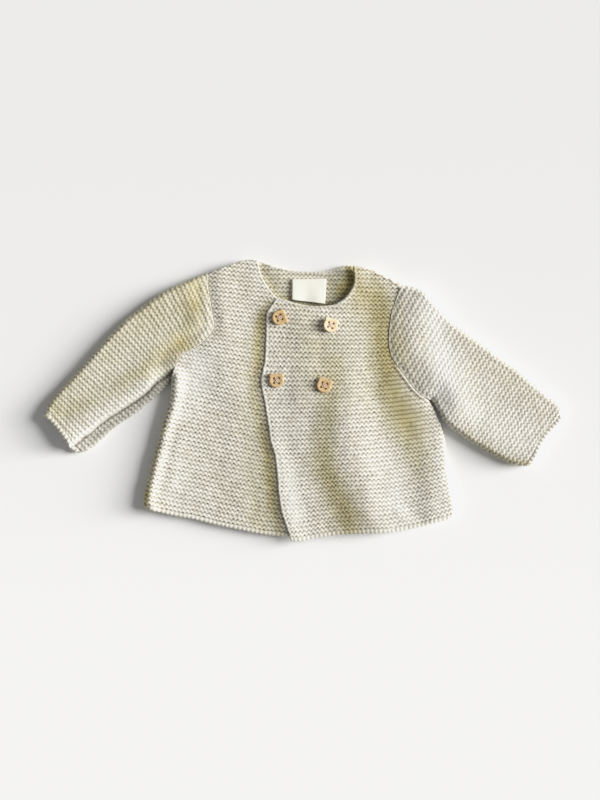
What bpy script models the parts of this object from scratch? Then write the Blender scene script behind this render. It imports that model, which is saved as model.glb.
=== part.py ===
"""Baby cardigan, garter-stitch knit, double-breasted, laid flat on its back.

Z is up, the wearer's head points to +Y, and the wearer's left is +X.
The origin is the middle of the underside.  Every panel is a wall of knitted
cloth; the panels lie on each other and keep a small gap at the seams.
"""

from math import cos, hypot, pi, radians, sin, sqrt

import bmesh
import bpy
import numpy as np
from mathutils import Euler, Vector

# ---------------------------------------------------------------- sizes
MM = 0.001
GRID = 0.95 * MM        # one square of the pattern drawing
DATUM = (0.36, 0.10)    # drawing point that sits over the origin, in squares
WALL = 3.6 * MM         # thickness of the garter-stitch cloth
SEAM = 0.45 * MM        # gap between pieces that are sewn edge to edge
LAY = 0.3 * MM          # gap between pieces that lie on each other
PRESS = 1.8 * MM        # the left front is pressed thinner where it laps over the right one
BUTTON_THICK = 2.4 * MM
LABEL_THICK = 1.0 * MM

# ---------------------------------------------------------------- pattern
# Each row runs across a panel.  Columns, in drawing squares from the middle
# of the garment (x to the wearer's left, y to the head):
#   x0, y0   the row's outer end (side seam, then armhole)
#   x1, y1   its inner end (front edge, then neckline)
#   s1, s2   how far the row hangs below its chord at a third and two thirds
RIGHT_FRONT = [
    # x0     y0     x1     y1    s1    s2
    (-157.0, -108.0, 42.0, -127.5, 8.0, 13.5),   # hem
    (-157.6, -86.0, 41.0, -107.0, 7.5, 11.5),
    (-152.0, -64.0, 40.0, -86.0, 7.0, 9.0),
    (-145.0, -40.0, 39.0, -65.0, 6.0, 6.0),      # hip
    (-138.7, -17.0, 38.0, -43.0, 5.0, 4.0),
    (-132.5, 6.0, 37.0, -20.0, 3.5, 2.0),        # waist
    (-132.0, 21.0, 36.5, 3.0, 2.0, 1.0),         # underarm
    (-124.0, 41.0, 36.0, 25.0, 1.0, 0.5),
    (-113.0, 50.5, 35.5, 45.0, 1.0, 0.5),
    (-97.0, 61.0, 35.0, 66.0, 1.0, 0.5),
    (-89.5, 73.0, 35.0, 91.0, 1.0, 0.5),         # corner of the neckline
    (-90.0, 84.0, 8.0, 92.5, 0.5, 0.5),
    (-92.0, 98.0, -21.5, 101.0, 0.0, 0.0),
    (-94.0, 113.0, -36.5, 116.0, 0.0, 0.0),
    (-94.0, 128.5, -45.0, 140.0, -1.8, -3.6),    # shoulder seam
]
LEFT_FRONT = [
    # x0     y0     x1     y1    s1    s2
    (151.5, -115.8, -12.3, -140.8, 5.9, 1.6),    # hem
    (150.0, -96.0, -20.0, -117.0, 4.0, 1.0),
    (146.5, -77.0, -23.6, -96.0, 3.0, 0.5),
    (143.7, -55.0, -26.0, -71.0, 2.0, 0.5),      # hip
    (140.4, -33.0, -30.5, -47.0, 1.0, 0.0),
    (133.0, -13.0, -35.5, -19.0, 0.0, 0.0),      # waist
    (125.0, 2.0, -41.5, 13.0, 0.0, 0.0),         # underarm
    (111.0, 13.0, -40.6, 30.0, 0.0, 0.0),
    (95.0, 33.5, -38.0, 51.0, 0.0, 0.0),
    (85.5, 56.0, -37.0, 73.0, 0.0, 0.0),
    (85.3, 68.0, -35.0, 91.0, 0.0, 0.0),
    (86.5, 81.0, -26.0, 103.0, 0.0, 0.0),        # corner of the neckline
    (89.0, 92.0, -3.0, 96.5, 0.0, 0.0),
    (92.0, 99.5, 23.0, 95.2, 0.0, 0.0),
    (94.0, 104.5, 42.0, 103.5, 0.0, 0.0),
    (95.4, 108.5, 50.3, 117.0, 0.0, 0.0),
    (96.2, 111.0, 51.0, 125.0, 0.0, 0.0),
    (97.0, 113.0, 50.0, 135.0, -1.6, -2.5),      # shoulder seam
]
# The back's rows run from the wearer's right (x0, y0) to the left (x1, y1).
BACK = [
    # x0     y0     x1     y1    s1    s2
    (-156.0, -107.0, 150.5, -114.5, 19.0, 19.0),  # hem
    (-156.6, -86.0, 148.0, -92.0, 12.0, 12.0),
    (-151.0, -64.0, 144.8, -70.0, 6.0, 6.0),
    (-144.0, -40.0, 141.8, -46.0, 4.0, 4.0),      # hip
    (-137.7, -17.0, 136.0, -23.0, 2.0, 2.0),
    (-131.5, 6.0, 128.5, -7.0, 1.0, 1.0),         # waist
    (-130.8, 20.0, 124.0, 2.3, 0.0, 0.0),         # underarm
    (-122.5, 39.5, 108.0, 12.5, 0.0, 0.0),
    (-110.5, 47.5, 92.5, 34.0, 0.0, 0.0),
    (-94.0, 58.0, 83.7, 56.0, 0.0, 0.0),
    (-87.5, 73.0, 83.5, 69.0, 0.0, 0.0),
    (-88.5, 84.0, 84.7, 81.0, 0.0, 0.0),
    (-90.8, 98.0, 88.2, 94.0, -1.0, -1.0),
    (-93.0, 113.0, 92.8, 105.0, -4.0, -4.0),
]
# The back's upper outline: shoulder, neck, shoulder.
BACK_TOP = [
    # x      y
    (-93.5, 127.5),     # shoulder point
    (-82.0, 132.5),
    (-62.0, 140.0),
    (-45.5, 140.8),     # neck point
    (-35.0, 137.5),
    (-18.0, 132.7),
    (2.0, 129.8),       # middle of the back neck
    (22.0, 130.2),
    (38.0, 134.5),
    (49.0, 136.0),      # neck point
    (66.0, 132.8),
    (82.0, 125.8),
    (96.3, 115.5),      # shoulder point
]
# Sleeve rings.  Columns, in drawing squares and millimetres:
#   xu, yu   point on the upper outline      xl, yl   on the lower outline
#   high     height of the ring
RIGHT_SLEEVE = [
    # xu     yu      xl     yl    high
    (-94.2, 128.3, -132.0, 20.5, 7.9),   # armhole seam
    (-110.0, 122.0, -133.5, 16.0, 9.6),
    (-133.0, 112.5, -139.0, 9.0, 10.6),
    (-153.0, 100.4, -147.0, 2.5, 10.8),
    (-176.0, 83.0, -157.5, -5.0, 10.8),
    (-196.0, 64.0, -170.0, -14.0, 10.8),
    (-213.0, 43.5, -183.0, -25.5, 10.8),
    (-230.0, 24.0, -196.0, -36.0, 10.8),
    (-244.0, 10.0, -209.5, -46.8, 10.6),
    (-260.0, -15.5, -226.0, -52.5, 9.8),  # cuff
]
LEFT_SLEEVE = [
    # xu     yu      xl     yl    high
    (98.5, 114.5, 127.5, 2.0, 7.9),      # armhole seam
    (113.0, 112.6, 138.0, -6.5, 9.6),
    (128.0, 103.0, 145.0, -20.0, 10.6),
    (145.0, 84.0, 154.0, -31.0, 10.8),
    (167.0, 65.5, 167.0, -40.5, 10.8),
    (189.0, 50.0, 182.0, -49.5, 10.8),
    (209.0, 34.5, 197.0, -57.5, 10.8),
    (229.0, 18.5, 211.0, -64.0, 10.8),
    (246.0, 4.5, 220.0, -65.6, 10.5),
    (260.7, -15.0, 228.0, -64.0, 9.8),   # cuff
]
CUFF_BOW = {"right": 1.5, "left": 3.0}     # squares the cuff edge bends in
# Strip of the right sleeve that is folded under, seen below the long fold:
# share of the sleeve's length and width of the strip, in squares.
STRIP = [
    # along  wide
    (0.0, 4.0),
    (0.2, 10.0),
    (0.4, 13.0),
    (0.7, 13.5),
    (1.0, 9.0),
]
STRIP_HIGH = 7.9 * MM

# Soft folds of the fronts.  Columns, in squares and millimetres: the ridge
# passes x at the top, middle and bottom of its run, from y_top to y_bottom,
# high above the flat cloth, wide to each side.
FOLDS = [
    # x_top  x_mid  x_bot  y_top  y_bot  high  wide
    (48.0, 50.5, 66.0, 70.0, -134.0, 3.0, 16.0),     # left front, inner
    (120.0, 132.0, 139.0, 25.0, -112.0, 2.6, 14.0),  # left front, by the side
    (-22.0, -24.0, -6.0, -5.0, -138.0, 1.2, 14.0),   # left front, free edge
    (-118.0, -123.0, -135.0, 30.0, -104.0, 2.4, 17.0),   # right front, side
    (-62.0, -66.0, -60.0, 60.0, -90.0, 1.0, 20.0),   # right front, inner
]
NECK = {"x": 2.0, "y": 125.0, "rx": 52.0, "ry": 30.0, "high": 1.8, "wide": 0.55}
# The right front's hidden edge: the left front steps down beyond it.
OVERLAP = {"x_hem": 45.0, "x_neck": 40.0, "y_hem": -128.0, "y_neck": 92.0, "run": 13.0}

# Buttons: place on the drawing, turn and lean in degrees.
BUTTONS = [
    # name                   x      y     turn  lean_x lean_y
    ("button_upper_edge", -23.7, 83.4, -68.0, 0.0, 2.0),
    ("button_upper_inner", 27.2, 76.2, -16.0, 2.0, 13.0),
    ("button_lower_edge", -26.5, 20.5, 0.0, 2.0, 0.0),
    ("button_lower_inner", 20.6, 15.8, -18.0, 2.0, 3.0),
]
HEAD = {"rx": 7.3 * MM, "ry": 6.6 * MM}         # the bear's head
EAR = {"r": 2.5 * MM, "x": 5.0 * MM, "y": 4.9 * MM}
HOLE = {"r": 0.8 * MM, "pitch": 3.9 * MM}

# The label's corners on the drawing, and how far its lower edge lifts.
LABEL = {"x0": -11.0, "x1": 23.3, "y_top": 122.0, "y_left": 101.5, "y_right": 97.6, "lift": 1.6 * MM}

CLOTH_CREAM = (0.70, 0.66, 0.54)
LABEL_IVORY = (0.88, 0.86, 0.74)
BEECH = (0.62, 0.42, 0.22)


# ---------------------------------------------------------------- curves
def spline(rows, t):
    """Catmull-Rom curve through the rows of a table, t from 0 to 1."""
    rows = np.asarray(rows, float)
    last = len(rows) - 1
    f = min(max(t, 0.0), 1.0) * last
    i = min(int(f), last - 1)
    f -= i
    p1, p2 = rows[i], rows[i + 1]
    p0 = rows[i - 1] if i > 0 else 2 * p1 - p2
    p3 = rows[i + 2] if i + 2 <= last else 2 * p2 - p1
    return 0.5 * (2 * p1 + (p2 - p0) * f + (2 * p0 - 5 * p1 + 4 * p2 - p3) * f * f
                  + (3 * p1 - p0 - 3 * p2 + p3) * f ** 3)


def smoothstep(x):
    x = min(max(x, 0.0), 1.0)
    return x * x * (3 - 2 * x)


def row_point(row, u):
    """Point of a row at share u of its length, hanging by its sags."""
    x0, y0, x1, y1, s1, s2 = row
    hang = 13.5 * u * (1 - u) * (s1 * (2 / 3 - u) + s2 * (u - 1 / 3))
    return x0 + (x1 - x0) * u, y0 + (y1 - y0) * u - hang


def place(x, y, z):
    """Drawing squares and a height in metres to a point of the part."""
    return Vector(((x - DATUM[0]) * GRID, (y - DATUM[1]) * GRID, z))


# ---------------------------------------------------------------- heights
def fold_lift(x, y):
    """Height in metres that the soft folds add to the fronts."""
    lift = 0.0
    for x_top, x_mid, x_bot, y_top, y_bot, high, wide in FOLDS:
        f = (y_top - y) / (y_top - y_bot)
        g = min(max(f, 0.0), 1.0)
        ridge = x_top * (1 - g) * (1 - 2 * g) + x_mid * 4 * g * (1 - g) + x_bot * g * (2 * g - 1)
        ends = smoothstep((f + 0.12) / 0.3)
        lift += high * MM * ends * np.exp(-((x - ridge) / wide) ** 2)
    ring = hypot((x - NECK["x"]) / NECK["rx"], (y - NECK["y"]) / NECK["ry"])
    lift += NECK["high"] * MM * np.exp(-((ring - 1.0) / NECK["wide"]) ** 2)
    return min(lift, 3.4 * MM)


def front_top(x, y):
    return WALL + LAY + WALL + fold_lift(x, y)


def overlap_share(x, y):
    """1 where the left front lies on the right one, 0 beyond its hidden edge."""
    f = (y - OVERLAP["y_hem"]) / (OVERLAP["y_neck"] - OVERLAP["y_hem"])
    edge = OVERLAP["x_hem"] + (OVERLAP["x_neck"] - OVERLAP["x_hem"]) * min(max(f, 0.0), 1.0)
    return 1 - smoothstep((x - edge - 8.0) / OVERLAP["run"])


def left_front_top(x, y):
    return front_top(x, y) + (WALL + 2 * LAY - PRESS) * overlap_share(x, y)


def left_front_wall(x, y):
    return WALL - PRESS * overlap_share(x, y)


# ---------------------------------------------------------------- objects
def collection(name):
    col = bpy.data.collections.new(name)
    bpy.context.scene.collection.children.link(col)
    return col


def material(name, colour, roughness):
    mat = bpy.data.materials.new(name)
    mat.use_nodes = True
    shader = mat.node_tree.nodes["Principled BSDF"]
    shader.inputs["Base Color"].default_value = (*colour, 1.0)
    shader.inputs["Roughness"].default_value = roughness
    shader.inputs["Metallic"].default_value = 0.0
    return mat


def mesh_object(name, points, faces, mat, col):
    mesh = bpy.data.meshes.new(name)
    mesh.from_pydata([tuple(p) for p in points], [], faces)
    mesh.materials.append(mat)
    mesh.validate()
    obj = bpy.data.objects.new(name, mesh)
    col.objects.link(obj)
    mesh.shade_smooth()
    return obj


def make_wall(obj, thickness):
    """Gives an open sheet its underside, straight below, so seams stay upright.
    thickness(x, y) is asked on the drawing's squares."""
    bm = bmesh.new()
    bm.from_mesh(obj.data)
    made = bmesh.ops.extrude_face_region(bm, geom=bm.faces[:], use_keep_orig=True)
    lower = [g for g in made["geom"] if isinstance(g, bmesh.types.BMVert)]
    for v in lower:
        v.co.z -= thickness(v.co.x / GRID + DATUM[0], v.co.y / GRID + DATUM[1])
    bmesh.ops.recalc_face_normals(bm, faces=bm.faces[:])
    bm.to_mesh(obj.data)
    bm.free()


def grid_faces(nu, nv):
    faces = []
    for j in range(nv):
        for i in range(nu):
            a = j * (nu + 1) + i
            faces.append((a, a + 1, a + nu + 2, a + nu + 1))
    return faces


def row_steps(intervals):
    """Row parameters from 0 to 1: each table interval cut into its steps."""
    steps = [0.0]
    for k, cuts in enumerate(intervals):
        steps += [k + (i + 1) / cuts for i in range(cuts)]
    return [s / len(intervals) for s in steps]


def panel(name, table, nu, steps, height, mat, col, top_line=None, wall=lambda x, y: WALL):
    """A knitted panel: rows of a table, its upper face at height(x, y)."""
    points = []
    nv = len(steps) - 1
    for t in steps:
        row = spline(table, t)
        for i in range(nu + 1):
            x, y = row_point(row, i / nu)
            points.append(place(x, y, height(x, y)))
    if top_line:
        for i in range(nu + 1):
            x, y = spline(top_line, i / nu)
            points.append(place(x, y, height(x, y)))
        nv += 1
    obj = mesh_object(name, points, grid_faces(nu, nv), mat, col)
    make_wall(obj, wall)
    return obj


def strip_drop(along, d):
    """How far the top layer steps down to the strip that is folded under."""
    wide = spline([(w,) for _, w in STRIP], 0.0)[0]
    for (a0, w0), (a1, w1) in zip(STRIP, STRIP[1:]):
        if a0 <= along <= a1:
            wide = w0 + (w1 - w0) * (along - a0) / (a1 - a0)
    return 1 - smoothstep((d - wide + 1.5) / 5.0)


def ring_loop(wide, high, inset, ends, shares):
    """Section of a flat tube: (distance from its lower edge, height) pairs.

    Between the round edges its points stand at the given shares of the width.
    """
    r = high / 2 - inset            # radius of the round edges
    mid = high / 2
    near, far = high / 2 / GRID, wide - high / 2 / GRID
    stops = [min(max(share * wide, near + 0.02 * k), far - 0.02 * (len(shares) - 1 - k))
             for k, share in enumerate(shares)]
    loop = []
    for i in range(ends):           # round edge at the lower outline
        a = -pi / 2 - pi * (i + 0.5) / ends
        loop.append((near + r * cos(a) / GRID, mid + r * sin(a)))
    for d in stops:                 # upper layer
        loop.append((d, mid + r))
    for i in range(ends):           # round edge at the upper outline
        a = pi / 2 - pi * (i + 0.5) / ends
        loop.append((far + r * cos(a) / GRID, mid + r * sin(a)))
    for d in reversed(stops):       # lower layer
        loop.append((d, mid - r))
    return loop


def sleeve(name, rings, seam_line, bow, strip, mat, col, lengths, ends=4):
    """A sleeve laid flat: a tube whose first ring follows the armhole seam."""
    seam, shares = seam_line
    inward = 1.0 if name.startswith("right") else -1.0
    base_low, base_up = np.array(rings[0][2:4]), np.array(rings[0][0:2])
    points = []
    for k in range(lengths + 1):
        t = k / lengths
        xu, yu, xl, yl, high = spline(rings, t)
        high *= MM
        lower, upper = np.array([xl, yl]), np.array([xu, yu])
        wide = float(np.linalg.norm(upper - lower))
        side = (upper - lower) / wide
        out = np.array([-side[1], side[0]])
        fade = 1 - smoothstep(t / 0.42)
        for inset in (0.0, WALL):
            for d, level in ring_loop(wide, high, inset, ends, shares):
                share = min(max(d / wide, 0.0), 1.0)
                spot = lower + (upper - lower) * share
                spot = spot + (seam(share) - (base_low + (base_up - base_low) * share)) * fade
                spot = spot - out * inward * bow * 4 * share * (1 - share) * smoothstep((t - 0.75) / 0.25)
                if strip and level > high / 2:
                    drop = (high - min(high, STRIP_HIGH)) * strip_drop(t, d)
                    level -= drop * (level - high / 2) / (high / 2)
                points.append(place(spot[0], spot[1], level))
    n = 2 * (ends + len(shares))
    faces = []
    for k in range(lengths):
        for i in range(n):
            j = (i + 1) % n
            a, b = k * 2 * n, (k + 1) * 2 * n
            faces.append((a + i, a + j, b + j, b + i))                      # outside
            faces.append((a + n + i, b + n + i, b + n + j, a + n + j))      # inside
    for k in (0, lengths):
        a = k * 2 * n
        for i in range(n):
            j = (i + 1) % n
            faces.append((a + i, a + n + i, a + n + j, a + j) if k == 0
                         else (a + i, a + j, a + n + j, a + n + i))
    obj = mesh_object(name, points, faces, mat, col)
    bm = bmesh.new()
    bm.from_mesh(obj.data)
    bmesh.ops.recalc_face_normals(bm, faces=bm.faces[:])
    bm.to_mesh(obj.data)
    bm.free()
    return obj


def head_outline(count=40):
    """Outline of the bear's head: an oval and two round ears."""
    points = []
    for k in range(count):
        a = 2 * pi * (k + 0.5) / count
        c, s = cos(a), sin(a)
        reach = 1 / sqrt((c / HEAD["rx"]) ** 2 + (s / HEAD["ry"]) ** 2)
        for side in (-1, 1):
            ex, ey = side * EAR["x"], EAR["y"]
            along = c * ex + s * ey
            off = ex * ex + ey * ey - along * along
            if along > 0 and off < EAR["r"] ** 2:
                reach = max(reach, along + sqrt(EAR["r"] ** 2 - off))
        points.append((reach * c, reach * s))
    return points


def button(name, x, y, turn, lean_x, lean_y, mat, col):
    curve = bpy.data.curves.new(name, "CURVE")
    curve.dimensions = "2D"
    curve.fill_mode = "BOTH"
    curve.extrude = BUTTON_THICK / 2
    half = HOLE["pitch"] / 2
    outlines = [head_outline()]
    for hx in (-half, half):
        for hy in (-half, half):
            outlines.append([(hx + HOLE["r"] * cos(-2 * pi * k / 7), hy + HOLE["r"] * sin(-2 * pi * k / 7))
                             for k in range(7)])
    for outline in outlines:
        line = curve.splines.new("POLY")
        line.points.add(len(outline) - 1)
        for p, (px, py) in zip(line.points, outline):
            p.co = (px, py, 0.0, 1.0)
        line.use_cyclic_u = True
    curve.materials.append(mat)
    obj = bpy.data.objects.new(name, curve)
    col.objects.link(obj)
    turned = Euler((radians(lean_x), radians(lean_y), 0.0)).to_matrix() @ Euler((0, 0, radians(turn))).to_matrix()
    obj.rotation_euler = turned.to_euler()
    # It rests on the highest point of the cloth under it.
    normal = turned @ Vector((0, 0, 1))
    rise = 0.0
    for share in (0.4, 0.7, 1.0):
        for px, py in head_outline():
            spot = turned @ Vector((px * share, py * share, 0.0))
            rise = max(rise, left_front_top(x + spot.x / GRID, y + spot.y / GRID) - spot.z)
    obj.location = place(x, y, rise + LAY + BUTTON_THICK / 2 / normal.z)
    return obj


def label(mat, col, nu=6, nv=6):
    points = []
    for j in range(nv + 1):
        v = j / nv                      # 0 at the top, sewn edge
        for i in range(nu + 1):
            u = i / nu
            x = LABEL["x0"] + (LABEL["x1"] - LABEL["x0"]) * u
            low = LABEL["y_left"] + (LABEL["y_right"] - LABEL["y_left"]) * u
            y = LABEL["y_top"] + (low - LABEL["y_top"]) * v
            z = WALL + LAY + LABEL_THICK + LABEL["lift"] * smoothstep(v) * (0.7 + 0.3 * u)
            points.append(place(x, y, z))
    obj = mesh_object("neck_label", points, grid_faces(nu, nv), mat, col)
    make_wall(obj, lambda x, y: LABEL_THICK)
    return obj


# ---------------------------------------------------------------- build
def seam_line(table, steps, first, side):
    """Armhole seam: the outer ends of a front's rows from row first up."""
    start = first / (len(table) - 1) - 1e-9
    ends = [np.array(spline(table, t)[:2]) for t in steps if t >= start]
    run = [0.0]
    for a, b in zip(ends, ends[1:]):
        run.append(run[-1] + float(np.linalg.norm(b - a)))
    shares = [r / run[-1] for r in run]
    away = []       # outward direction at each end, square to the seam
    for k in range(len(ends)):
        step = ends[min(k + 1, len(ends) - 1)] - ends[max(k - 1, 0)]
        away.append(np.array([step[1], -step[0]]) / np.linalg.norm(step) * side)

    def at(share):
        """Point at a share of the seam's length, moved off the body."""
        k = next((i for i in range(len(run) - 1) if shares[i + 1] >= share), len(run) - 2)
        f = min((share - shares[k]) / (shares[k + 1] - shares[k]), 1.0)
        return (ends[k] + away[k] * SEAM / GRID) * (1 - f) + (ends[k + 1] + away[k + 1] * SEAM / GRID) * f
    return at, shares


def main():
    for obj in list(bpy.data.objects):
        bpy.data.objects.remove(obj, do_unlink=True)
    col = collection("baby_cardigan")
    knit = {name: material(name + "_knit", CLOTH_CREAM, 0.95)
            for name in ("back", "right_front", "left_front", "right_sleeve", "left_sleeve")}
    tape = material("label_tape", LABEL_IVORY, 0.8)
    wood = material("beech", BEECH, 0.55)

    back_steps = row_steps([1] * 13)
    right_steps = row_steps([2] * 14)
    left_steps = row_steps([2] * 6 + [1] * 11)
    panel("back", BACK, 20, back_steps, lambda x, y: WALL, knit["back"], col, top_line=BACK_TOP)
    panel("right_front", RIGHT_FRONT, 12, right_steps, front_top, knit["right_front"], col)
    panel("left_front", LEFT_FRONT, 18, left_steps, left_front_top, knit["left_front"], col,
          wall=left_front_wall)

    sleeve("right_sleeve", RIGHT_SLEEVE, seam_line(RIGHT_FRONT, right_steps, 6, -1.0),
           CUFF_BOW["right"], True, knit["right_sleeve"], col, lengths=10)
    sleeve("left_sleeve", LEFT_SLEEVE, seam_line(LEFT_FRONT, left_steps, 6, 1.0),
           CUFF_BOW["left"], False, knit["left_sleeve"], col, lengths=12)

    label(tape, col)
    for row in BUTTONS:
        button(*row, wood, col)


main()
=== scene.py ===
"""Looks of the baby cardigan: knitted panels, sleeves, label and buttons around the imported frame."""

from math import cos, pi, radians, sin, sqrt

import bmesh
import bpy
import numpy as np
from mathutils import Euler, Matrix, Vector
from mathutils.geometry import delaunay_2d_cdt


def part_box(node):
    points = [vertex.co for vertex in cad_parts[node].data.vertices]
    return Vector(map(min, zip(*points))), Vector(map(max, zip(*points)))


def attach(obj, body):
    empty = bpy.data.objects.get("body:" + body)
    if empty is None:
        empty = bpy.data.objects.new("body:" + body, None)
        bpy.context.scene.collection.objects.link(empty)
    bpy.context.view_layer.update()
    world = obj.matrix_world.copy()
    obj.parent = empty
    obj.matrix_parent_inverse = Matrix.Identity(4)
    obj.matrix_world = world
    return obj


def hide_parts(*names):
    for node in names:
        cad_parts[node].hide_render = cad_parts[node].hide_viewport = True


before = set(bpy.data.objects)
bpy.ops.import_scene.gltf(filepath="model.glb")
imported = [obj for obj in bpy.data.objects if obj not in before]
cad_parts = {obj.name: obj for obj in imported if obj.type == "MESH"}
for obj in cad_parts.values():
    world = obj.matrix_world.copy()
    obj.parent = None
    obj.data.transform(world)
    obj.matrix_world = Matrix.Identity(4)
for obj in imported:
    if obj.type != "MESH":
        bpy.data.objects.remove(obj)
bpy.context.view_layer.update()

# ------------------------------------------------------------------ sizes, mm
SQ = 0.95                   # one pixel of the 600 by 800 photograph
MID = (303.36, 400.90)      # the pixel over the part's origin
WALL = 3.6                  # cloth
LAY = 0.3
FRONT = 2 * WALL + LAY      # height of a front's face over the floor
LAP = WALL + LAY            # step of the left front over the right one
STITCH = 4.04               # width of a stitch
RIDGE = 4.18                # height of a garter ridge
DEPTH = 0.75                # from a ridge's crest to the bottom of its holes
PUFF = 12.0                 # sleeve height
SEAM_HIGH = 7.9             # sleeve height at the armhole


def px(points):
    """Photograph pixels to millimetres in the part's frame."""
    a = np.asarray(points, float).reshape(-1, 2)
    return np.column_stack(((a[:, 0] - MID[0]) * SQ, (MID[1] - a[:, 1]) * SQ))


# ------------------------------------------------------------------ outlines
# Named edges of each panel, points in photograph pixels.
RF = {
    "hem": [(145.6, 509), (150, 510), (160, 512.5), (170, 515), (180, 517), (190, 518.5), (200, 521),
            (220, 526), (240, 530), (260, 534), (280, 536.3), (289, 537), (300, 536.5), (320, 533.5), (345, 529.5)],
    "hidden": [(345, 529.5), (342, 450), (340, 380), (338, 309)],
    "neck": [(338, 309), (318, 309.5), (300, 308), (288, 303), (277, 297.5), (271, 291), (267, 286),
             (264.3, 281), (261, 274), (259.6, 268), (258, 260.5)],
    "shoulder": [(258, 260.5), (250, 259.4), (240, 261), (230, 264.5), (220, 268.5), (209, 272.5)],
    "armhole": [(209, 272.5), (208.5, 289), (210.4, 300), (213, 317), (214, 327), (211, 333.5), (207, 338),
                (197, 347), (186, 352), (180, 357), (176, 364), (171.5, 377)],
    "side": [(171.5, 377), (170.5, 395), (166, 412), (161, 428), (158, 441), (155, 451), (151, 465),
             (148.5, 477), (145.5, 487), (143.7, 499), (143.6, 505), (145.6, 509)],
}
LF = {
    "edge": [(276.5, 298), (271, 306), (267, 312), (266, 320), (265.5, 340), (264.5, 360), (263, 368),
             (261.3, 376), (260.8, 381), (261.8, 390), (264, 400), (265.6, 410), (268.7, 430), (270, 440),
             (273, 450), (275, 457.5), (277, 476), (278, 490), (280.6, 509), (283, 517.5), (285.6, 525),
             (288.7, 533.7), (291, 541.5)],
    "hem": [(291, 541.5), (300, 541), (310, 539), (320, 537.3), (330, 535.6), (340, 534.6), (360, 533.7),
            (380, 533), (390, 532.4), (400, 530.6), (420, 527), (430, 524), (440, 521.5), (450, 518.8), (453.6, 517)],
    "side": [(453.6, 517), (454.6, 510), (453, 500), (451, 490), (449.5, 480), (447.5, 470), (447, 460),
             (446, 450), (445, 440), (442.5, 430), (439.5, 421), (436, 413), (432.5, 406), (428.5, 399)],
    "armhole": [(428.5, 399), (419, 393.5), (410.5, 384), (404, 375), (397.9, 367), (391.6, 357),
                (388.5, 345), (389, 328), (391.5, 311), (394.3, 303), (397.8, 293.5), (400.5, 287.5)],
    "shoulder": [(400.5, 287.5), (399.4, 284.8), (394, 280.7), (387, 277.3), (380, 273.9), (373, 270.4), (366, 267.9),
                 (359, 266.6), (353, 265.6)],
    "neck": [(353, 265.6), (352.9, 271), (354, 277), (353.3, 284), (350, 291), (345, 297.5), (338, 302.5),
             (330, 305.2), (318, 306), (305, 305.3), (295, 303), (286, 300), (276.5, 298)],
}
BACK = {
    "hem": [(147.5, 507.5), (170, 512.5), (200, 518.5), (240, 527.5), (280, 533.5), (300, 535), (340, 532),
            (380, 530.5), (420, 524.5), (452, 515)],
    "side_l": [(452, 515), (451.5, 500), (448.5, 480), (446, 462), (444.5, 442), (441.5, 430), (438, 419),
               (432, 408), (426.5, 400)],
    "armhole_l": [(426.5, 400), (417.5, 395), (409, 385.5), (402.5, 377), (396.4, 368), (390.2, 358),
                  (387, 345), (387.6, 328), (390, 311), (392.8, 303.5), (396.5, 294), (399.5, 287.5), (401.5, 284)],
    "top": [(401.5, 284), (394, 279.6), (387, 276.2), (380, 272.8), (373, 269.3), (364, 266.8), (353.6, 265.7),
            (347, 265.2), (341, 266.2), (334.5, 269), (326, 270.7), (310, 271.3), (293, 270.3), (285, 268.6),
            (276, 266.4), (268, 263.5), (262, 261.4), (256, 260.6), (248, 261), (240, 262.5), (230, 266),
            (220, 270.2), (210.5, 274)],
    "armhole_r": [(210.5, 274), (210, 289), (211.8, 300), (214.4, 317), (215.4, 327), (212.4, 335), (208, 340),
                  (197.5, 349.5), (187, 354), (181.5, 359), (177.5, 366), (173.5, 378)],
    "side_r": [(173.5, 378), (172, 395), (167.5, 412), (162.5, 428), (159.5, 441), (156.5, 451), (152.5, 465),
               (150, 477), (147, 487), (145.5, 499), (147.5, 507.5)],
}
RS = {      # right sleeve, at the photograph's left
    "upper": [(43, 416), (50, 402), (60, 390), (70, 380), (80, 369), (90, 358), (100, 346), (110, 335.5),
              (120, 325), (130, 316), (140, 308.5), (150, 300.6), (160, 294), (170, 288.5), (180, 284),
              (190, 280), (200, 275.5), (208.4, 272.2)],
    "lower": [(171, 381.5), (163, 390), (150, 402), (138, 412.5), (127, 419.5), (117, 426), (110, 432),
              (106, 436.5), (100, 442), (95, 446.5), (86, 451.5), (76, 453.5)],
    "cuff": [(76, 453.5), (71, 449), (66, 440.5), (58, 430), (50, 421), (43, 416)],
    "fold": [(173, 372), (161, 379), (155, 383.5), (147, 392), (136, 400.5), (125, 407.5), (115, 414),
             (106, 419.5), (95, 428), (84, 437), (74, 445.5)],
}
LS = {      # left sleeve, at the photograph's right
    "upper": [(402.2, 285), (410, 286), (419, 288), (425, 291.3), (432.5, 300), (441, 309.5), (450, 319.5),
              (460, 328), (470, 335.5), (480, 342.5), (489, 348.7), (500, 357.5), (510, 365), (519, 371),
              (530, 381), (540, 389), (549, 397), (556, 402), (560.5, 407), (563.7, 416)],
    "cuff": [(563.7, 416), (560, 422), (556, 426.5), (551, 431.5), (544, 441), (540, 448), (537, 455),
             (533, 461.5), (530.5, 465)],
    "lower": [(530.5, 465), (528, 466), (520, 466), (510, 463.5), (500, 458.5), (490, 453.5), (480, 447.5),
              (470, 441.5), (460, 434.5), (450, 427), (444, 421.5), (440, 415), (436, 407), (431.5, 399.5)],
}

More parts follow.
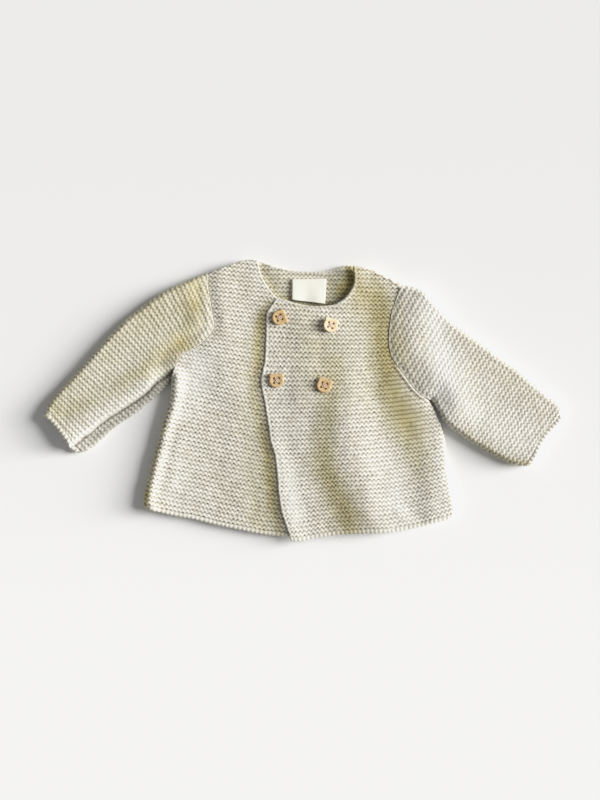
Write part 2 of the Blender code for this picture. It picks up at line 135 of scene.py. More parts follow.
# Soft folds of the fronts: ridge x at the top, middle and bottom of its run
# (pixels), y_top, y_bottom, height in mm (a trough is negative), half width.
FOLDS = [
    # x_top  x_mid  x_bot  y_top  y_bot  high  wide
    (347, 354, 382, 378, 541, 3.2, 30.0),
    (404, 428, 434, 372, 520, 1.7, 14.0),
    (276, 279, 296, 415, 541, 1.6, 13.0),
    (188, 173, 160, 372, 512, 1.2, 14.0),
    (243, 238, 246, 345, 505, 0.9, 16.0),
    (300, 306, 303, 312, 395, 0.8, 13.0),
    (397, 411, 428, 505, 541, 0.6, 10.0),
    (214, 217, 222, 258, 372, 1.6, 21.0),
]


# Painted shade and painted light: where the cloth's colour is painted deeper olive (+) in shaded folds and creases, or
# paler (-) where folds face the light, as bands. Each point of a band: x, y, strength, half width, all in pixels.
PAINTED_SHADE_AND_LIGHT = {
    "left_front": [
        [(372, 272, 0.40, 12), (375, 290, 0.78, 17), (380, 312, 0.90, 19), (384, 335, 0.97, 20), (386, 358, 0.97, 19),
         (388, 378, 0.92, 18), (394, 400, 0.92, 19), (405, 420, 0.90, 20), (413, 440, 0.72, 17), (418, 460, 0.44, 14),
         (421, 480, 0.16, 12), (425, 503, 0.00, 11), (428, 525, 0.02, 10)],
        [(354, 267, 0.60, 7), (357, 285, 0.60, 8), (357, 300, 0.50, 10), (354, 318, 0.25, 11), (350, 340, 0.12, 12),
         (350, 372, 0.18, 13), (352, 396, 0.20, 12)],
        [(336, 362, 0.35, 10), (332, 385, 0.48, 12), (329, 405, 0.52, 12), (326, 425, 0.56, 13), (324, 442, 0.64, 14),
         (324, 460, 0.72, 14), (330, 480, 0.76, 15), (339, 500, 0.80, 16), (347, 520, 0.84, 16), (350, 537, 0.62, 14)],
        [(380, 445, -0.04, 10), (390, 465, -0.12, 11), (397, 490, -0.18, 12), (404, 518, -0.14, 12)],
        [(275, 400, -0.05, 6), (282, 445, -0.10, 6), (290, 480, -0.28, 8), (296, 520, -0.28, 8)],
        [(298, 322, 0.25, 22), (316, 345, 0.46, 22), (316, 372, 0.36, 20), (308, 400, 0.14, 18)],
        [(438, 440, -0.10, 7), (441, 475, -0.10, 7), (442, 510, -0.10, 7)],
    ],
    "right_front": [
        [(268, 303, 0.45, 6), (262, 318, 0.85, 7), (259, 340, 0.80, 7), (258, 360, 0.75, 7), (255, 380, 0.55, 7),
         (257, 400, 0.50, 7), (261, 420, 0.60, 7), (265, 440, 0.75, 7), (269, 460, 0.80, 7), (271, 480, 0.80, 7),
         (274, 505, 0.70, 7), (280, 532, 0.50, 7)],
        [(246, 345, 0.15, 12), (245, 400, 0.22, 13), (252, 460, 0.34, 13), (260, 520, 0.45, 15)],
        [(171, 385, 0.35, 3.5), (165, 418, 0.50, 3.5), (157, 448, 0.60, 3.5), (149, 480, 0.65, 3.5), (145, 505, 0.65, 3.5)],
        [(147, 495, 0.30, 8), (158, 506, 0.20, 8), (176, 512, 0.10, 8)],
        [(192, 356, -0.25, 10), (200, 368, -0.35, 14), (192, 395, -0.20, 12), (186, 430, 0.05, 12), (178, 480, -0.10, 10),
         (176, 505, -0.10, 10)],
        [(214, 277, 0.18, 9), (222, 300, 0.10, 12), (228, 330, 0.05, 14)],
        [(238, 268, 0.18, 10), (248, 285, 0.16, 12), (250, 305, 0.12, 10)],
        [(212, 440, 0.12, 14), (225, 500, 0.14, 18)],
    ],
    "right_sleeve": [
        [(62, 404, 0.36, 26), (98, 366, 0.36, 28), (128, 338, 0.42, 30), (158, 312, 0.50, 32), (186, 300, 0.48, 24)],
        [(45, 415, 0.12, 5), (72, 378, 0.12, 5), (110, 336, 0.12, 5), (150, 302, 0.15, 5), (190, 281, 0.15, 6)],
        [(52, 405, 0.15, 8), (62, 413, 0.25, 9), (82, 404, 0.25, 9), (103, 397, 0.25, 9), (122, 385, 0.42, 9),
         (138, 374, 0.45, 10), (152, 364, 0.50, 12), (167, 355, 0.60, 14), (177, 345, 0.50, 13)],
        [(197, 276, 0.45, 13), (197, 294, 0.40, 13), (196, 312, 0.45, 13), (193, 328, 0.50, 13), (185, 343, 0.45, 12)],
        [(84, 432, -0.20, 5), (106, 413, -0.20, 5), (136, 394, -0.15, 5), (152, 382, -0.05, 5)],
        [(78, 448, -0.05, 4), (106, 428, -0.05, 5), (140, 405, -0.05, 5), (168, 382, 0.10, 5)],
        [(205, 300, -0.08, 3), (208, 316, -0.08, 3), (207, 330, 0.05, 3), (190, 348, 0.15, 4)],
    ],
    "left_sleeve": [
        [(404, 290, 0.12, 9), (398, 305, 0.30, 10), (395, 325, 0.48, 12), (397, 345, 0.62, 13), (405, 365, 0.42, 12),
         (415, 380, 0.12, 11), (424, 392, 0.05, 9)],
        [(440, 414, 0.00, 5), (470, 438, 0.42, 5), (500, 457, 0.55, 5), (526, 464, 0.55, 5)],
        [(422, 304, -0.22, 9), (437, 330, -0.32, 11), (442, 360, -0.42, 14), (448, 386, -0.46, 15), (466, 405, -0.20, 12),
         (480, 421, -0.14, 12), (505, 432, -0.08, 14), (525, 442, -0.10, 12)],
        [(470, 345, 0.16, 16), (505, 375, 0.20, 16), (540, 402, 0.16, 14)],
    ],
    "back": [
        [(262, 268, 0.35, 7), (270, 285, 0.35, 7), (282, 300, 0.35, 7)],
        [(351, 268, 0.90, 8), (350, 282, 0.90, 8), (342, 296, 0.60, 8)],
        [(285, 301, 0.40, 5), (305, 306, 0.60, 5), (330, 305, 0.60, 5)],
        [(280, 280, 0.30, 16), (310, 288, 0.42, 16), (338, 286, 0.50, 14)],
        [(372, 270, 0.30, 5), (385, 276, 0.30, 5), (398, 284, 0.30, 5)],
    ],
}

# Painted shade: where the cloth's colour is painted greyer and darker, in creases, folds and shadows, in the same form.
PAINTED_GREY_SHADE = {
    "right_sleeve": [
        [(84, 446, 0.42, 6), (112, 426, 0.90, 7), (136, 409, 0.85, 7), (155, 393, 0.95, 8), (170, 379, 0.95, 7)],
        [(84, 430, 0.08, 7), (106, 412, 0.12, 7), (136, 392, 0.12, 7), (155, 377, 0.12, 6)],
        [(74, 445.5, 0.55, 1.6), (84, 437, 0.75, 1.5), (95, 428, 0.65, 1.4), (106, 419.5, 0.80, 1.5), (115, 414, 0.60, 1.3),
         (125, 407.5, 0.75, 1.4), (136, 400.5, 0.80, 1.5), (147, 392, 0.85, 1.6), (155, 383.5, 0.90, 1.9),
         (161, 379, 0.95, 2.2), (173, 372, 1.00, 2.8)],
        [(168, 364, 0.95, 9), (174, 352, 0.70, 9), (188, 342, 0.12, 6)],
        [(209, 274, 0.22, 1.6), (209, 290, 0.20, 1.6), (213, 318, 0.20, 1.6), (211, 334, 0.2, 1.6), (186, 352, 0.2, 1.6)],
        [(192, 338, 0.28, 11), (195, 318, 0.60, 11), (196, 302, 0.46, 11), (197, 286, 0.22, 10)],
    ],
    "left_sleeve": [
        [(424, 290, 0.24, 3), (450, 319, 0.35, 4), (480, 342, 0.35, 4), (510, 365, 0.35, 4), (540, 389, 0.35, 4),
         (562, 410, 0.32, 4)],
        [(562, 416, 0.08, 3), (548, 437, 0.08, 3), (533, 461, 0.08, 3)],
    ],
    "right_front": [
        [(259, 262, 0.42, 1.8), (261, 274, 0.45, 1.8), (267, 286, 0.42, 1.8), (276, 297, 0.30, 1.8)],
        [(188, 395, 0.16, 10), (178, 430, 0.20, 10), (170, 452, 0.26, 9), (168, 480, 0.06, 9)],
        [(250, 345, 0.10, 8), (250, 390, 0.18, 8), (250, 450, 0.18, 8), (252, 480, 0.22, 8), (256, 505, 0.22, 8)],
        [(262, 500, 0.05, 10), (264, 525, 0.08, 12)],
    ],
    "left_front": [
        [(332, 380, 0.08, 11), (330, 400, 0.12, 11), (324, 430, 0.14, 12), (325, 460, 0.16, 12), (338, 490, 0.22, 14),
         (346, 520, 0.24, 14), (350, 536, 0.16, 12)],
        [(366, 290, 0.16, 10), (362, 304, 0.14, 11), (354, 340, 0.04, 12), (350, 385, 0.10, 10)],
        [(300, 330, 0.02, 14), (318, 345, 0.14, 16), (316, 372, 0.10, 14)],
        [(378, 365, 0.04, 12), (382, 385, 0.34, 12), (386, 402, 0.42, 12), (392, 420, 0.26, 12), (398, 440, 0.06, 12)],
        [(400, 368, 0.22, 2.5), (412, 384, 0.25, 2.5), (428, 398, 0.25, 3)],
        [(356, 400, 0.14, 11), (357, 430, 0.20, 12), (358, 460, 0.20, 12), (359, 490, 0.38, 12), (360, 512, 0.52, 12),
         (368, 532, 0.56, 12)],
        [(290, 385, 0.28, 8), (290, 405, 0.16, 8), (291, 435, 0.40, 8), (294, 455, 0.24, 8), (296, 485, 0.08, 8)],
        [(312, 285, 0.10, 6), (313, 300, 0.10, 6)],
        [(268, 306, 0.22, 1.6), (266, 340, 0.24, 1.6), (262, 378, 0.24, 1.6), (266, 410, 0.24, 1.6), (275, 455, 0.24, 1.6),
         (281, 505, 0.24, 1.6), (291, 539, 0.24, 1.6)],
        [(431, 404, 0.16, 3), (442, 430, 0.14, 3), (448, 470, 0.14, 3), (453, 510, 0.12, 3)],
        [(399, 290, 0.12, 3), (387, 282, 0.10, 3), (373, 274, 0.10, 3)],
        [(353, 304, 0.1, 3), (330, 306, 0.15, 2), (300, 304.5, 0.15, 2), (280, 299, 0.1, 2)],
    ],
    "back": [
        [(285, 303, 0.30, 4), (305, 308, 0.60, 4), (332, 307, 0.60, 4)],
        [(290, 299.5, 0.70, 2.2), (300, 301.5, 0.95, 2.4), (311, 303, 1.00, 2.4), (323, 304.5, 0.85, 2.2), (332, 304, 0.30, 2)],
        [(266, 270, 0.62, 5), (273, 280, 0.40, 5), (280, 290, 0.20, 5)],
        [(305, 285, 0.05, 14), (335, 285, 0.12, 13)],
        [(401, 284, 0.15, 2.5), (387, 276, 0.15, 2.5), (373, 269, 0.10, 2.5)],
    ],
}


def band_sum(rows, q):
    """Sum of soft bands at points given in pixels."""
    out = np.zeros(len(q))
    for row in rows:
        row = np.asarray(row, float)
        line = Curve(smooth_curve(row[:, :2], 3.0))
        d, arc = line.nearest(q)
        _, own = line.nearest(row[:, :2])
        own = np.maximum.accumulate(own)
        out += np.interp(arc, own, row[:, 2]) * np.exp(-(d / np.interp(arc, own, row[:, 3])) ** 2)
    return out


def painted_light_and_shade_at(name, xy):
    """Painted shade and light of a panel at points given in mm: the olive or pale tint with a little random tint, and
    the grey dimness.
    """
    q = np.column_stack((xy[:, 0] / SQ + MID[0], MID[1] - xy[:, 1] / SQ))
    painted_tone = np.clip(band_sum(PAINTED_SHADE_AND_LIGHT.get(name, []), q) + 0.06 * noise2(q[:, 0] / 9, q[:, 1] / 9, 91), -0.5, 1.1)
    painted_shade = np.clip(band_sum(PAINTED_GREY_SHADE.get(name, []), q), 0.0, 1.0)
    return np.column_stack((painted_tone, painted_shade, np.zeros(len(q))))


# ------------------------------------------------------------------ curves
def smooth_curve(points, step=0.3):
    """Catmull-Rom curve through the points, resampled at about step mm."""
    p = np.asarray(points, float)
    ext = np.vstack((2 * p[0] - p[1], p, 2 * p[-1] - p[-2]))
    out = []
    t = np.linspace(0, 1, 25)[:-1, None]
    for k in range(len(p) - 1):
        p0, p1, p2, p3 = ext[k], ext[k + 1], ext[k + 2], ext[k + 3]
        out.append(0.5 * (2 * p1 + (p2 - p0) * t + (2 * p0 - 5 * p1 + 4 * p2 - p3) * t ** 2
                          + (3 * p1 - p0 - 3 * p2 + p3) * t ** 3))
    out.append(p[-1:])
    dense = np.vstack(out)
    run = np.concatenate(([0.0], np.cumsum(np.linalg.norm(np.diff(dense, axis=0), axis=1))))
    n = max(int(round(run[-1] / step)), 1)
    at = np.linspace(0, run[-1], n + 1)
    return np.column_stack((np.interp(at, run, dense[:, 0]), np.interp(at, run, dense[:, 1])))


class Curve:
    """An open or closed polyline that answers distance questions."""

    def __init__(self, pts):
        self.p = np.asarray(pts, float)
        self.run = np.concatenate(([0.0], np.cumsum(np.linalg.norm(np.diff(self.p, axis=0), axis=1))))

    def nearest(self, q, want_side=False):
        """Distance, arc position (and side: + left of the curve) of each point of q."""
        a, b = self.p[:-1], self.p[1:]
        ab = b - a
        ll = np.maximum((ab ** 2).sum(1), 1e-12)
        n = len(q)
        dist = np.empty(n)
        arc = np.empty(n)
        side = np.empty(n)
        mids = 0.5 * (a + b)
        for s in range(0, n, 4000):
            part = q[s:s + 4000]
            d2 = (part ** 2).sum(1)[:, None] + (mids ** 2).sum(1)[None] - 2 * part @ mids.T
            k0 = d2.argmin(1)
            best = np.full(len(part), 1e9)
            barc = np.zeros(len(part))
            bside = np.zeros(len(part))
            for off in (-2, -1, 0, 1, 2):
                k = np.clip(k0 + off, 0, len(a) - 1)
                rel = part - a[k]
                t = np.clip((rel * ab[k]).sum(1) / ll[k], 0, 1)
                near = a[k] + ab[k] * t[:, None]
                d = np.linalg.norm(part - near, axis=1)
                better = d < best - 1e-12
                best = np.where(better, d, best)
                barc = np.where(better, self.run[k] + t * np.sqrt(ll[k]), barc)
                cr = ab[k, 0] * rel[:, 1] - ab[k, 1] * rel[:, 0]
                bside = np.where(better, np.sign(cr), bside)
            dist[s:s + 4000], arc[s:s + 4000], side[s:s + 4000] = best, barc, bside
        return (dist, arc, side) if want_side else (dist, arc)

    def at(self, arc):
        return np.column_stack((np.interp(arc, self.run, self.p[:, 0]), np.interp(arc, self.run, self.p[:, 1])))


def ring_of(edges, order):
    """Closed outline from named edges, counter-clockwise, with each sample's edge name."""
    pts, names = [], []
    for name in order:
        c = edges[name]
        pts.append(c[:-1])
        names += [name] * (len(c) - 1)
    pts = np.vstack(pts)
    x, y = pts[:, 0], pts[:, 1]
    area = 0.5 * np.sum(x * np.roll(y, -1) - np.roll(x, -1) * y)
    if area < 0:
        pts = pts[::-1]
        names = names[::-1]
        names = names[1:] + names[:1]
    return pts, names


def inside(poly, q):
    """Even-odd test of points q in a closed polygon."""
    keep = poly[::3] if len(poly) > 600 else poly
    x0, y0 = keep[:, 0], keep[:, 1]
    x1, y1 = np.roll(x0, -1), np.roll(y0, -1)
    out = np.zeros(len(q), bool)
    for s in range(0, len(q), 4000):
        p = q[s:s + 4000]
        cond = (y0[None] > p[:, 1:2]) != (y1[None] > p[:, 1:2])
        with np.errstate(divide="ignore", invalid="ignore"):
            xi = (x1 - x0)[None] * (p[:, 1:2] - y0[None]) / (y1 - y0)[None] + x0[None]
        out[s:s + 4000] = (cond & (p[:, 0:1] < xi)).sum(1) % 2 == 1
    return out


def smoothstep(x):
    x = np.clip(x, 0.0, 1.0)
    return x * x * (3 - 2 * x)


def lerp_table(rows, x):
    rows = np.asarray(rows, float)
    return np.interp(x, rows[:, 0], rows[:, 1])


# ------------------------------------------------------------------ noise
def hash2(i, j, seed):
    """Repeatable value from 0 to 1 for whole-number cells."""
    n = (i.astype(np.int64) * 374761393 + j.astype(np.int64) * 668265263 + seed * 1442695041) & 0xFFFFFFFF
    n = ((n ^ (n >> 13)) * 1274126177) & 0xFFFFFFFF
    n = (n ^ (n >> 16)) & 0xFFFFFFFF
    return n / 4294967295.0


def noise2(x, y, seed):
    """Smooth value noise from -1 to 1."""
    i, j = np.floor(x), np.floor(y)
    fx, fy = x - i, y - j
    fx, fy = fx * fx * (3 - 2 * fx), fy * fy * (3 - 2 * fy)
    i, j = i.astype(np.int64), j.astype(np.int64)
    a, b = hash2(i, j, seed), hash2(i + 1, j, seed)
    c, d = hash2(i, j + 1, seed), hash2(i + 1, j + 1, seed)
    return 2 * ((a * (1 - fx) + b * fx) * (1 - fy) + (c * (1 - fx) + d * fx) * fy) - 1


# ------------------------------------------------------------------ stitches
def garter(s, r, seed, swing=0.175, thin=0.0, fine=0.0):
    """Height, 0 in a hole to 1 on a crest, of garter stitch at stitch s and ridge r.

    swing is how far the grooves wave; thin, 0 to 1, draws them out to plain lines;
    fine makes them narrower and shallower, as in a slacker knit.
    """
    s = s + 0.10 * noise2(s * 0.9, r * 0.9, seed) + 0.35 * noise2(s * 0.07, r * 0.11, seed + 1)
    r = r + 0.06 * noise2(s * 0.8 + 9, r * 0.8, seed + 2) + 0.06 * noise2(s * 0.23 + 4, r * 0.31, seed + 8)
    under = np.floor(r)
    groove = np.zeros(len(s))
    wave = None
    for k in (0, 1):        # the groove below this ridge and the one above it
        row = under + k
        ph = 2 * pi * (s + 0.26 * noise2(s * 0.30, row * 5.7, seed + 5))
        if wave is None:
            wave = np.cos(ph)
        reach = (swing + 0.07 * noise2(s * 0.6 + 3, row * 3.1, seed + 6)) * (1 - 0.85 * thin)
        y = r - row - reach * np.cos(ph)
        hole = (0.5 + 0.5 * np.cos(ph)) ** 1.3 * (1 + 0.6 * noise2(s * 1.0, row * 2.3, seed + 3))
        hole = hole * (1 - thin) + 0.45 * thin
        wide = (0.105 + 0.045 * hole) * (1 - 0.3 * thin) * (1 - 0.22 * fine)
        groove = np.maximum(groove, (0.34 - 0.14 * fine + 0.62 * hole) * (1 - 0.14 * fine) * np.exp(-(y / wide) ** 2))
    # Each ridge is one yarn that arches over the holes below it.
    y = r - under - 0.46 - 0.95 * swing * wave * (1 - thin)
    yarn = np.exp(-(y / 0.31) ** 2)
    h = (0.56 + (0.38 + 0.06 * wave) * yarn) * (1 + 0.17 * noise2(s * 1.2 + 5, under * 2.3, seed + 4))
    up = r - under
    q = s - 0.5 + 0.55 * (up - 0.7)
    notch = np.exp(-((q - np.round(q)) / 0.17) ** 2) * np.exp(-((up - 0.72) / 0.26) ** 2)
    h = h * (1 - 0.34 * notch * (1 - thin))
    return np.clip(h * (1 - np.clip(groove, 0, 1)), 0.03, 1.05)


def ribs(s, seed):
    """Height of the cast-on edge's upright loops."""
    s = s + 0.12 * noise2(s * 0.8, s * 0 + 3.5, seed + 7)
    return 0.42 + 0.50 * np.abs(np.sin(pi * s)) ** 0.7


# ------------------------------------------------------------------ sheets
class Sheet:
    """A fine grid of stitches, cut to an outline, whose border runs on that outline."""

    def __init__(self, forward, s_range, r_range, ns, nr, outline, names):
        s = np.arange(int(s_range[0] * ns), int(s_range[1] * ns) + 1) / ns
        r = np.arange(int(r_range[0] * nr), int(r_range[1] * nr) + 1) / nr
        gs, gr = np.meshgrid(s, r)
        xy = forward(gs.ravel(), gr.ravel())
        cols, rows = len(s), len(r)
        idx = np.arange(rows * cols).reshape(rows, cols)
        quads = np.stack((idx[:-1, :-1], idx[:-1, 1:], idx[1:, 1:], idx[1:, :-1]), -1).reshape(-1, 4)
        centre = xy[quads].mean(1)
        keep = inside(outline, centre)
        quads = quads[keep]
        q = xy[quads]
        area = 0.5 * ((q[:, 2, 0] - q[:, 0, 0]) * (q[:, 3, 1] - q[:, 1, 1])
                      - (q[:, 3, 0] - q[:, 1, 0]) * (q[:, 2, 1] - q[:, 0, 1]))
        if area.mean() < 0:
            quads = quads[:, ::-1]
        quads = self._clean(quads)
        used = np.unique(quads)
        remap = np.full(rows * cols, -1)
        remap[used] = np.arange(len(used))
        self.quads = remap[quads]
        self.xy = xy[used]
        self.s, self.r = gs.ravel()[used], gr.ravel()[used]
        self.loop = self._loop(self.quads)
        self._snap(outline, names)

    @staticmethod
    def _edges(quads):
        e = np.concatenate([quads[:, [k, (k + 1) % 4]] for k in range(4)])
        who = np.tile(np.arange(len(quads)), 4)
        key = np.sort(e, 1)
        code = key[:, 0].astype(np.int64) * 10 ** 9 + key[:, 1]
        _, inv, count = np.unique(code, return_inverse=True, return_counts=True)
        border = count[inv] == 1
        return e[border], who[border]

    def _clean(self, quads):
        """Drops squares that hang on by one side, and pinches."""
        for _ in range(30):
            e, who = self._edges(quads)
            n = np.bincount(who, minlength=len(quads))
            bad = n >= 3
            start, count = np.unique(e[:, 0], return_counts=True)
            pinch = start[count > 1]
            if len(pinch):
                bad |= np.isin(quads, pinch).any(1) & (n >= 1)
            if not bad.any():
                break
            quads = quads[~bad]
        return quads

    def _loop(self, quads):
        e, _ = self._edges(quads)
        nxt = dict(zip(e[:, 0].tolist(), e[:, 1].tolist()))
        loops = []
        left = set(nxt)
        while left:
            start = min(left)
            loop, v = [], start
            while v in left:
                left.discard(v)
                loop.append(v)
                v = nxt[v]
            loops.append(loop)
        loops.sort(key=len, reverse=True)
        if len(loops) > 1:      # islands and specks are dropped
            print("sheet has", [len(l) for l in loops], "loops")
        return np.array(loops[0])

    def _snap(self, outline, names):
        closed = np.vstack((outline, outline[:1]))
        curve = Curve(closed)
        total = curve.run[-1]
        _, arc = curve.nearest(self.xy[self.loop])
        # Unwrap so that the arc only grows, then even it out.
        d = np.diff(arc)
        d = (d + total / 2) % total - total / 2
        arc = np.concatenate(([arc[0]], arc[0] + np.cumsum(d)))
        n = len(arc)
        grow = np.maximum.accumulate(arc)
        fall = np.minimum.accumulate(arc[::-1])[::-1]
        arc = 0.5 * (grow + fall)
        for _ in range(4):
            prev = np.concatenate(([arc[-1] - total], arc[:-1]))
            nxt = np.concatenate((arc[1:], [arc[0] + total]))
            arc = 0.5 * arc + 0.25 * (prev + nxt)
        spacing = np.diff(np.concatenate((arc, [arc[0] + total])))
        if spacing.min() <= 0:
            print("border spacing", spacing.min())
        self.arc = arc % total
        self.xy[self.loop] = curve.at(self.arc)
        k = np.clip(np.searchsorted(curve.run, self.arc, side="right") - 1, 0, len(names) - 1)
        self.edge = [names[i] for i in k]
        # Even out the squares next to the border.
        border = np.zeros(len(self.xy), bool)
        border[self.loop] = True
        near = np.zeros(len(self.xy), bool)
        near[self.quads[border[self.quads].any(1)].ravel()] = True
        near &= ~border
        e = np.concatenate([self.quads[:, [k, (k + 1) % 4]] for k in range(4)])
        for _ in range(3):
            total_xy = np.zeros_like(self.xy)
            count = np.zeros(len(self.xy))
            for a, b in ((0, 1), (1, 0)):
                np.add.at(total_xy, e[:, a], self.xy[e[:, b]])
                np.add.at(count, e[:, a], 1)
            mean = total_xy / np.maximum(count, 1)[:, None]
            self.xy[near] = 0.5 * self.xy[near] + 0.5 * mean[near]


def normals_of(p, quads):
    """Vertex normals of a mesh of quads."""
    a, b, c, d = (p[quads[:, k]] for k in range(4))
    n = np.cross(c - a, d - b)
    out = np.zeros_like(p)
    for k in range(4):
        np.add.at(out, quads[:, k], n)
    return out / np.maximum(np.linalg.norm(out, axis=1), 1e-12)[:, None]


def fill(loops, spacing, margin=1.2):
    """Triangles that fill the first loop around the others: (all points, triangles).

    The loops' points come first, in order, and then the points added inside.
    """
    pts = np.vstack(loops)
    edges = []
    base = 0
    for loop in loops:
        n = len(loop)
        edges += [(base + i, base + (i + 1) % n) for i in range(n)]
        base += n
    lo, hi = loops[0].min(0), loops[0].max(0)
    xs = np.arange(lo[0] + spacing / 2, hi[0], spacing)
    ys = np.arange(lo[1] + spacing / 2, hi[1], spacing * 0.87)
    gx, gy = np.meshgrid(xs, ys)
    gx[1::2] += spacing / 2
    cand = np.column_stack((gx.ravel(), gy.ravel()))
    ok = inside_exact(loops[0], cand)
    for hole in loops[1:]:
        ok &= ~inside_exact(hole, cand)
    cand = cand[ok]
    for loop in loops:
        d, _ = Curve(np.vstack((loop, loop[:1]))).nearest(cand)
        cand = cand[d > max(margin, spacing * 0.45)]
    allp = np.vstack((pts, cand))
    out = delaunay_2d_cdt([Vector(p) for p in allp], edges, [], 0, 1e-7, True)
    verts, _, faces, orig = out[0], out[1], out[2], out[3]
    if len(verts) != len(allp):
        print("fill: points", len(allp), "became", len(verts))
    back = [o[0] if o else -1 for o in orig]
    tri = np.array([[back[i] for i in f] for f in faces if len(f) == 3])
    centre = allp[tri].mean(1)
    ok = inside_exact(loops[0], centre)
    for hole in loops[1:]:
        ok &= ~inside_exact(hole, centre)
    tri = tri[ok]
    p = allp[tri]
    area = (p[:, 1, 0] - p[:, 0, 0]) * (p[:, 2, 1] - p[:, 0, 1]) - (p[:, 2, 0] - p[:, 0, 0]) * (p[:, 1, 1] - p[:, 0, 1])
    tri[area < 0] = tri[area < 0][:, ::-1]
    return allp, tri


def inside_exact(poly, q):
    x0, y0 = poly[:, 0], poly[:, 1]
    x1, y1 = np.roll(x0, -1), np.roll(y0, -1)
    out = np.zeros(len(q), bool)
    for s in range(0, len(q), 2000):
        p = q[s:s + 2000]
        cond = (y0[None] > p[:, 1:2]) != (y1[None] > p[:, 1:2])
        with np.errstate(divide="ignore", invalid="ignore"):
            xi = (x1 - x0)[None] * (p[:, 1:2] - y0[None]) / (y1 - y0)[None] + x0[None]
        out[s:s + 2000] = (cond & (p[:, 0:1] < xi)).sum(1) % 2 == 1
    return out


class Builder:
    """Collects points, faces and stitch attributes, and makes the mesh object."""

    def __init__(self):
        self.p, self.f, self.knit, self.n = [], [], [], 0
        self.painted_tone_name = ""

    def add(self, points, knit=None):
        """Points in mm; knit is (stitch, ridge, height) for each."""
        points = np.asarray(points, float)
        if knit is None:
            knit = np.column_stack((points[:, 0] / STITCH, points[:, 1] / RIDGE, np.full(len(points), 0.75)))
        self.p.append(points)
        self.knit.append(knit)
        base = self.n
        self.n += len(points)
        return np.arange(base, self.n)

    def faces(self, f):
        self.f += np.asarray(f).tolist()

    def build(self, name, mat):
        p = np.vstack(self.p) * 0.001
        knit = np.vstack(self.knit)
        mesh = bpy.data.meshes.new(name)
        mesh.from_pydata(p.tolist(), [], self.f)
        bm = bmesh.new()
        bm.from_mesh(mesh)
        loose = [v for v in bm.verts if not v.link_faces]
        if loose:
            print(name, "loose points", len(loose))
        open_edges = sum(1 for e in bm.edges if len(e.link_faces) != 2)
        if open_edges:
            print(name, "edges without two faces:", open_edges)
        bmesh.ops.recalc_face_normals(bm, faces=bm.faces)
        if bm.calc_volume(signed=True) < 0:
            bmesh.ops.reverse_faces(bm, faces=bm.faces)
        bm.to_mesh(mesh)
        print(name, "volume", round(bm.calc_volume(signed=True) * 1e6, 1), "cm3, area",
              round(sum(f.calc_area() for f in bm.faces) * 1e4, 1), "cm2")
        bm.free()
        att = mesh.attributes.new("knit", "FLOAT_VECTOR", "POINT")
        att.data.foreach_set("vector", knit.astype(np.float32).ravel())
        # Painted shade and painted light for each point: tint and grey dimness.
        painted_tone = mesh.attributes.new("painted_tone", "FLOAT_VECTOR", "POINT")
        painted_tone.data.foreach_set("vector", painted_light_and_shade_at(self.painted_tone_name, p[:, :2] * 1000).astype(np.float32).ravel())
        mesh.materials.append(mat)
        mesh.shade_smooth()
        obj = bpy.data.objects.new(name, mesh)
        bpy.context.scene.collection.objects.link(obj)
        tris = sum(len(f) - 2 for f in self.f)
        print(f"{name}: {tris} triangles")
        return obj


# ------------------------------------------------------------------ heights
FOLD_ROWS = []
for xt, xm, xb, yt, yb, high, wide in FOLDS:
    FOLD_ROWS.append((xt, xm, xb, yt, yb, high, wide))


def fold_lift(xy):
    """Height that the soft folds add to the fronts, mm."""
    x = xy[:, 0] / SQ + MID[0]
    y = MID[1] - xy[:, 1] / SQ
    lift = np.zeros(len(xy))
    for xt, xm, xb, yt, yb, high, wide in FOLD_ROWS:
        f = (y - yt) / (yb - yt)
        g = np.clip(f, 0, 1)
        ridge = xt * (1 - g) * (1 - 2 * g) + xm * 4 * g * (1 - g) + xb * g * (2 * g - 1)
        ends = smoothstep((f + 0.12) / 0.35) * smoothstep((1.3 - f) / 0.3)
        lift += high * ends * np.exp(-((x - ridge) / wide) ** 2)
    ring = np.hypot((x - 305) / 52.0, (y - 276) / 30.0)
    lift += 0.9 * np.exp(-((ring - 1.0) / 0.5) ** 2)
    lift += 0.22 * noise2(x / 17.0, y / 17.0, 77) + 0.12 * noise2(x / 8.0, y / 8.0, 78)
    return np.clip(lift, 0, 4.2)


def lap_lift(xy):
    """Step of the left front over the hidden edge of the right front."""
    x = xy[:, 0] / SQ + MID[0]
    y = MID[1] - xy[:, 1] / SQ
    edge = 345 - 5 * np.clip((529 - y) / 220.0, 0, 1)
    return LAP * (1 - smoothstep((x - edge - 1.0) / 38.0))


def round_off(d, radius, drop):
    """How far a face has fallen at distance d from a rounded edge."""
    t = np.clip(1 - d / radius, 0, 1)
    return drop * (1 - np.sqrt(1 - t * t))


def edge_curves(edges):
    return {name: Curve(smooth_curve(px(pts))) for name, pts in edges.items()}


# ------------------------------------------------------------------ knit maps
def hem_line(points):
    """Height of a hem over x, mm, smoothed and carried on past its ends."""
    c = smooth_curve(px(points), 1.0)
    c = c[np.argsort(c[:, 0])]
    xs = np.linspace(c[0, 0], c[-1, 0], 240)
    ys = np.interp(xs, c[:, 0], c[:, 1])
    for _ in range(60):
        ys[1:-1] = 0.5 * ys[1:-1] + 0.25 * (ys[:-2] + ys[2:])
    m0 = (ys[12] - ys[0]) / (xs[12] - xs[0])
    m1 = (ys[-1] - ys[-13]) / (xs[-1] - xs[-13])

    def height(x):
        y = np.interp(x, xs, ys)
        y = np.where(x < xs[0], ys[0] + m0 * (x - xs[0]), y)
        return np.where(x > xs[-1], ys[-1] + m1 * (x - xs[-1]), y)
    return height


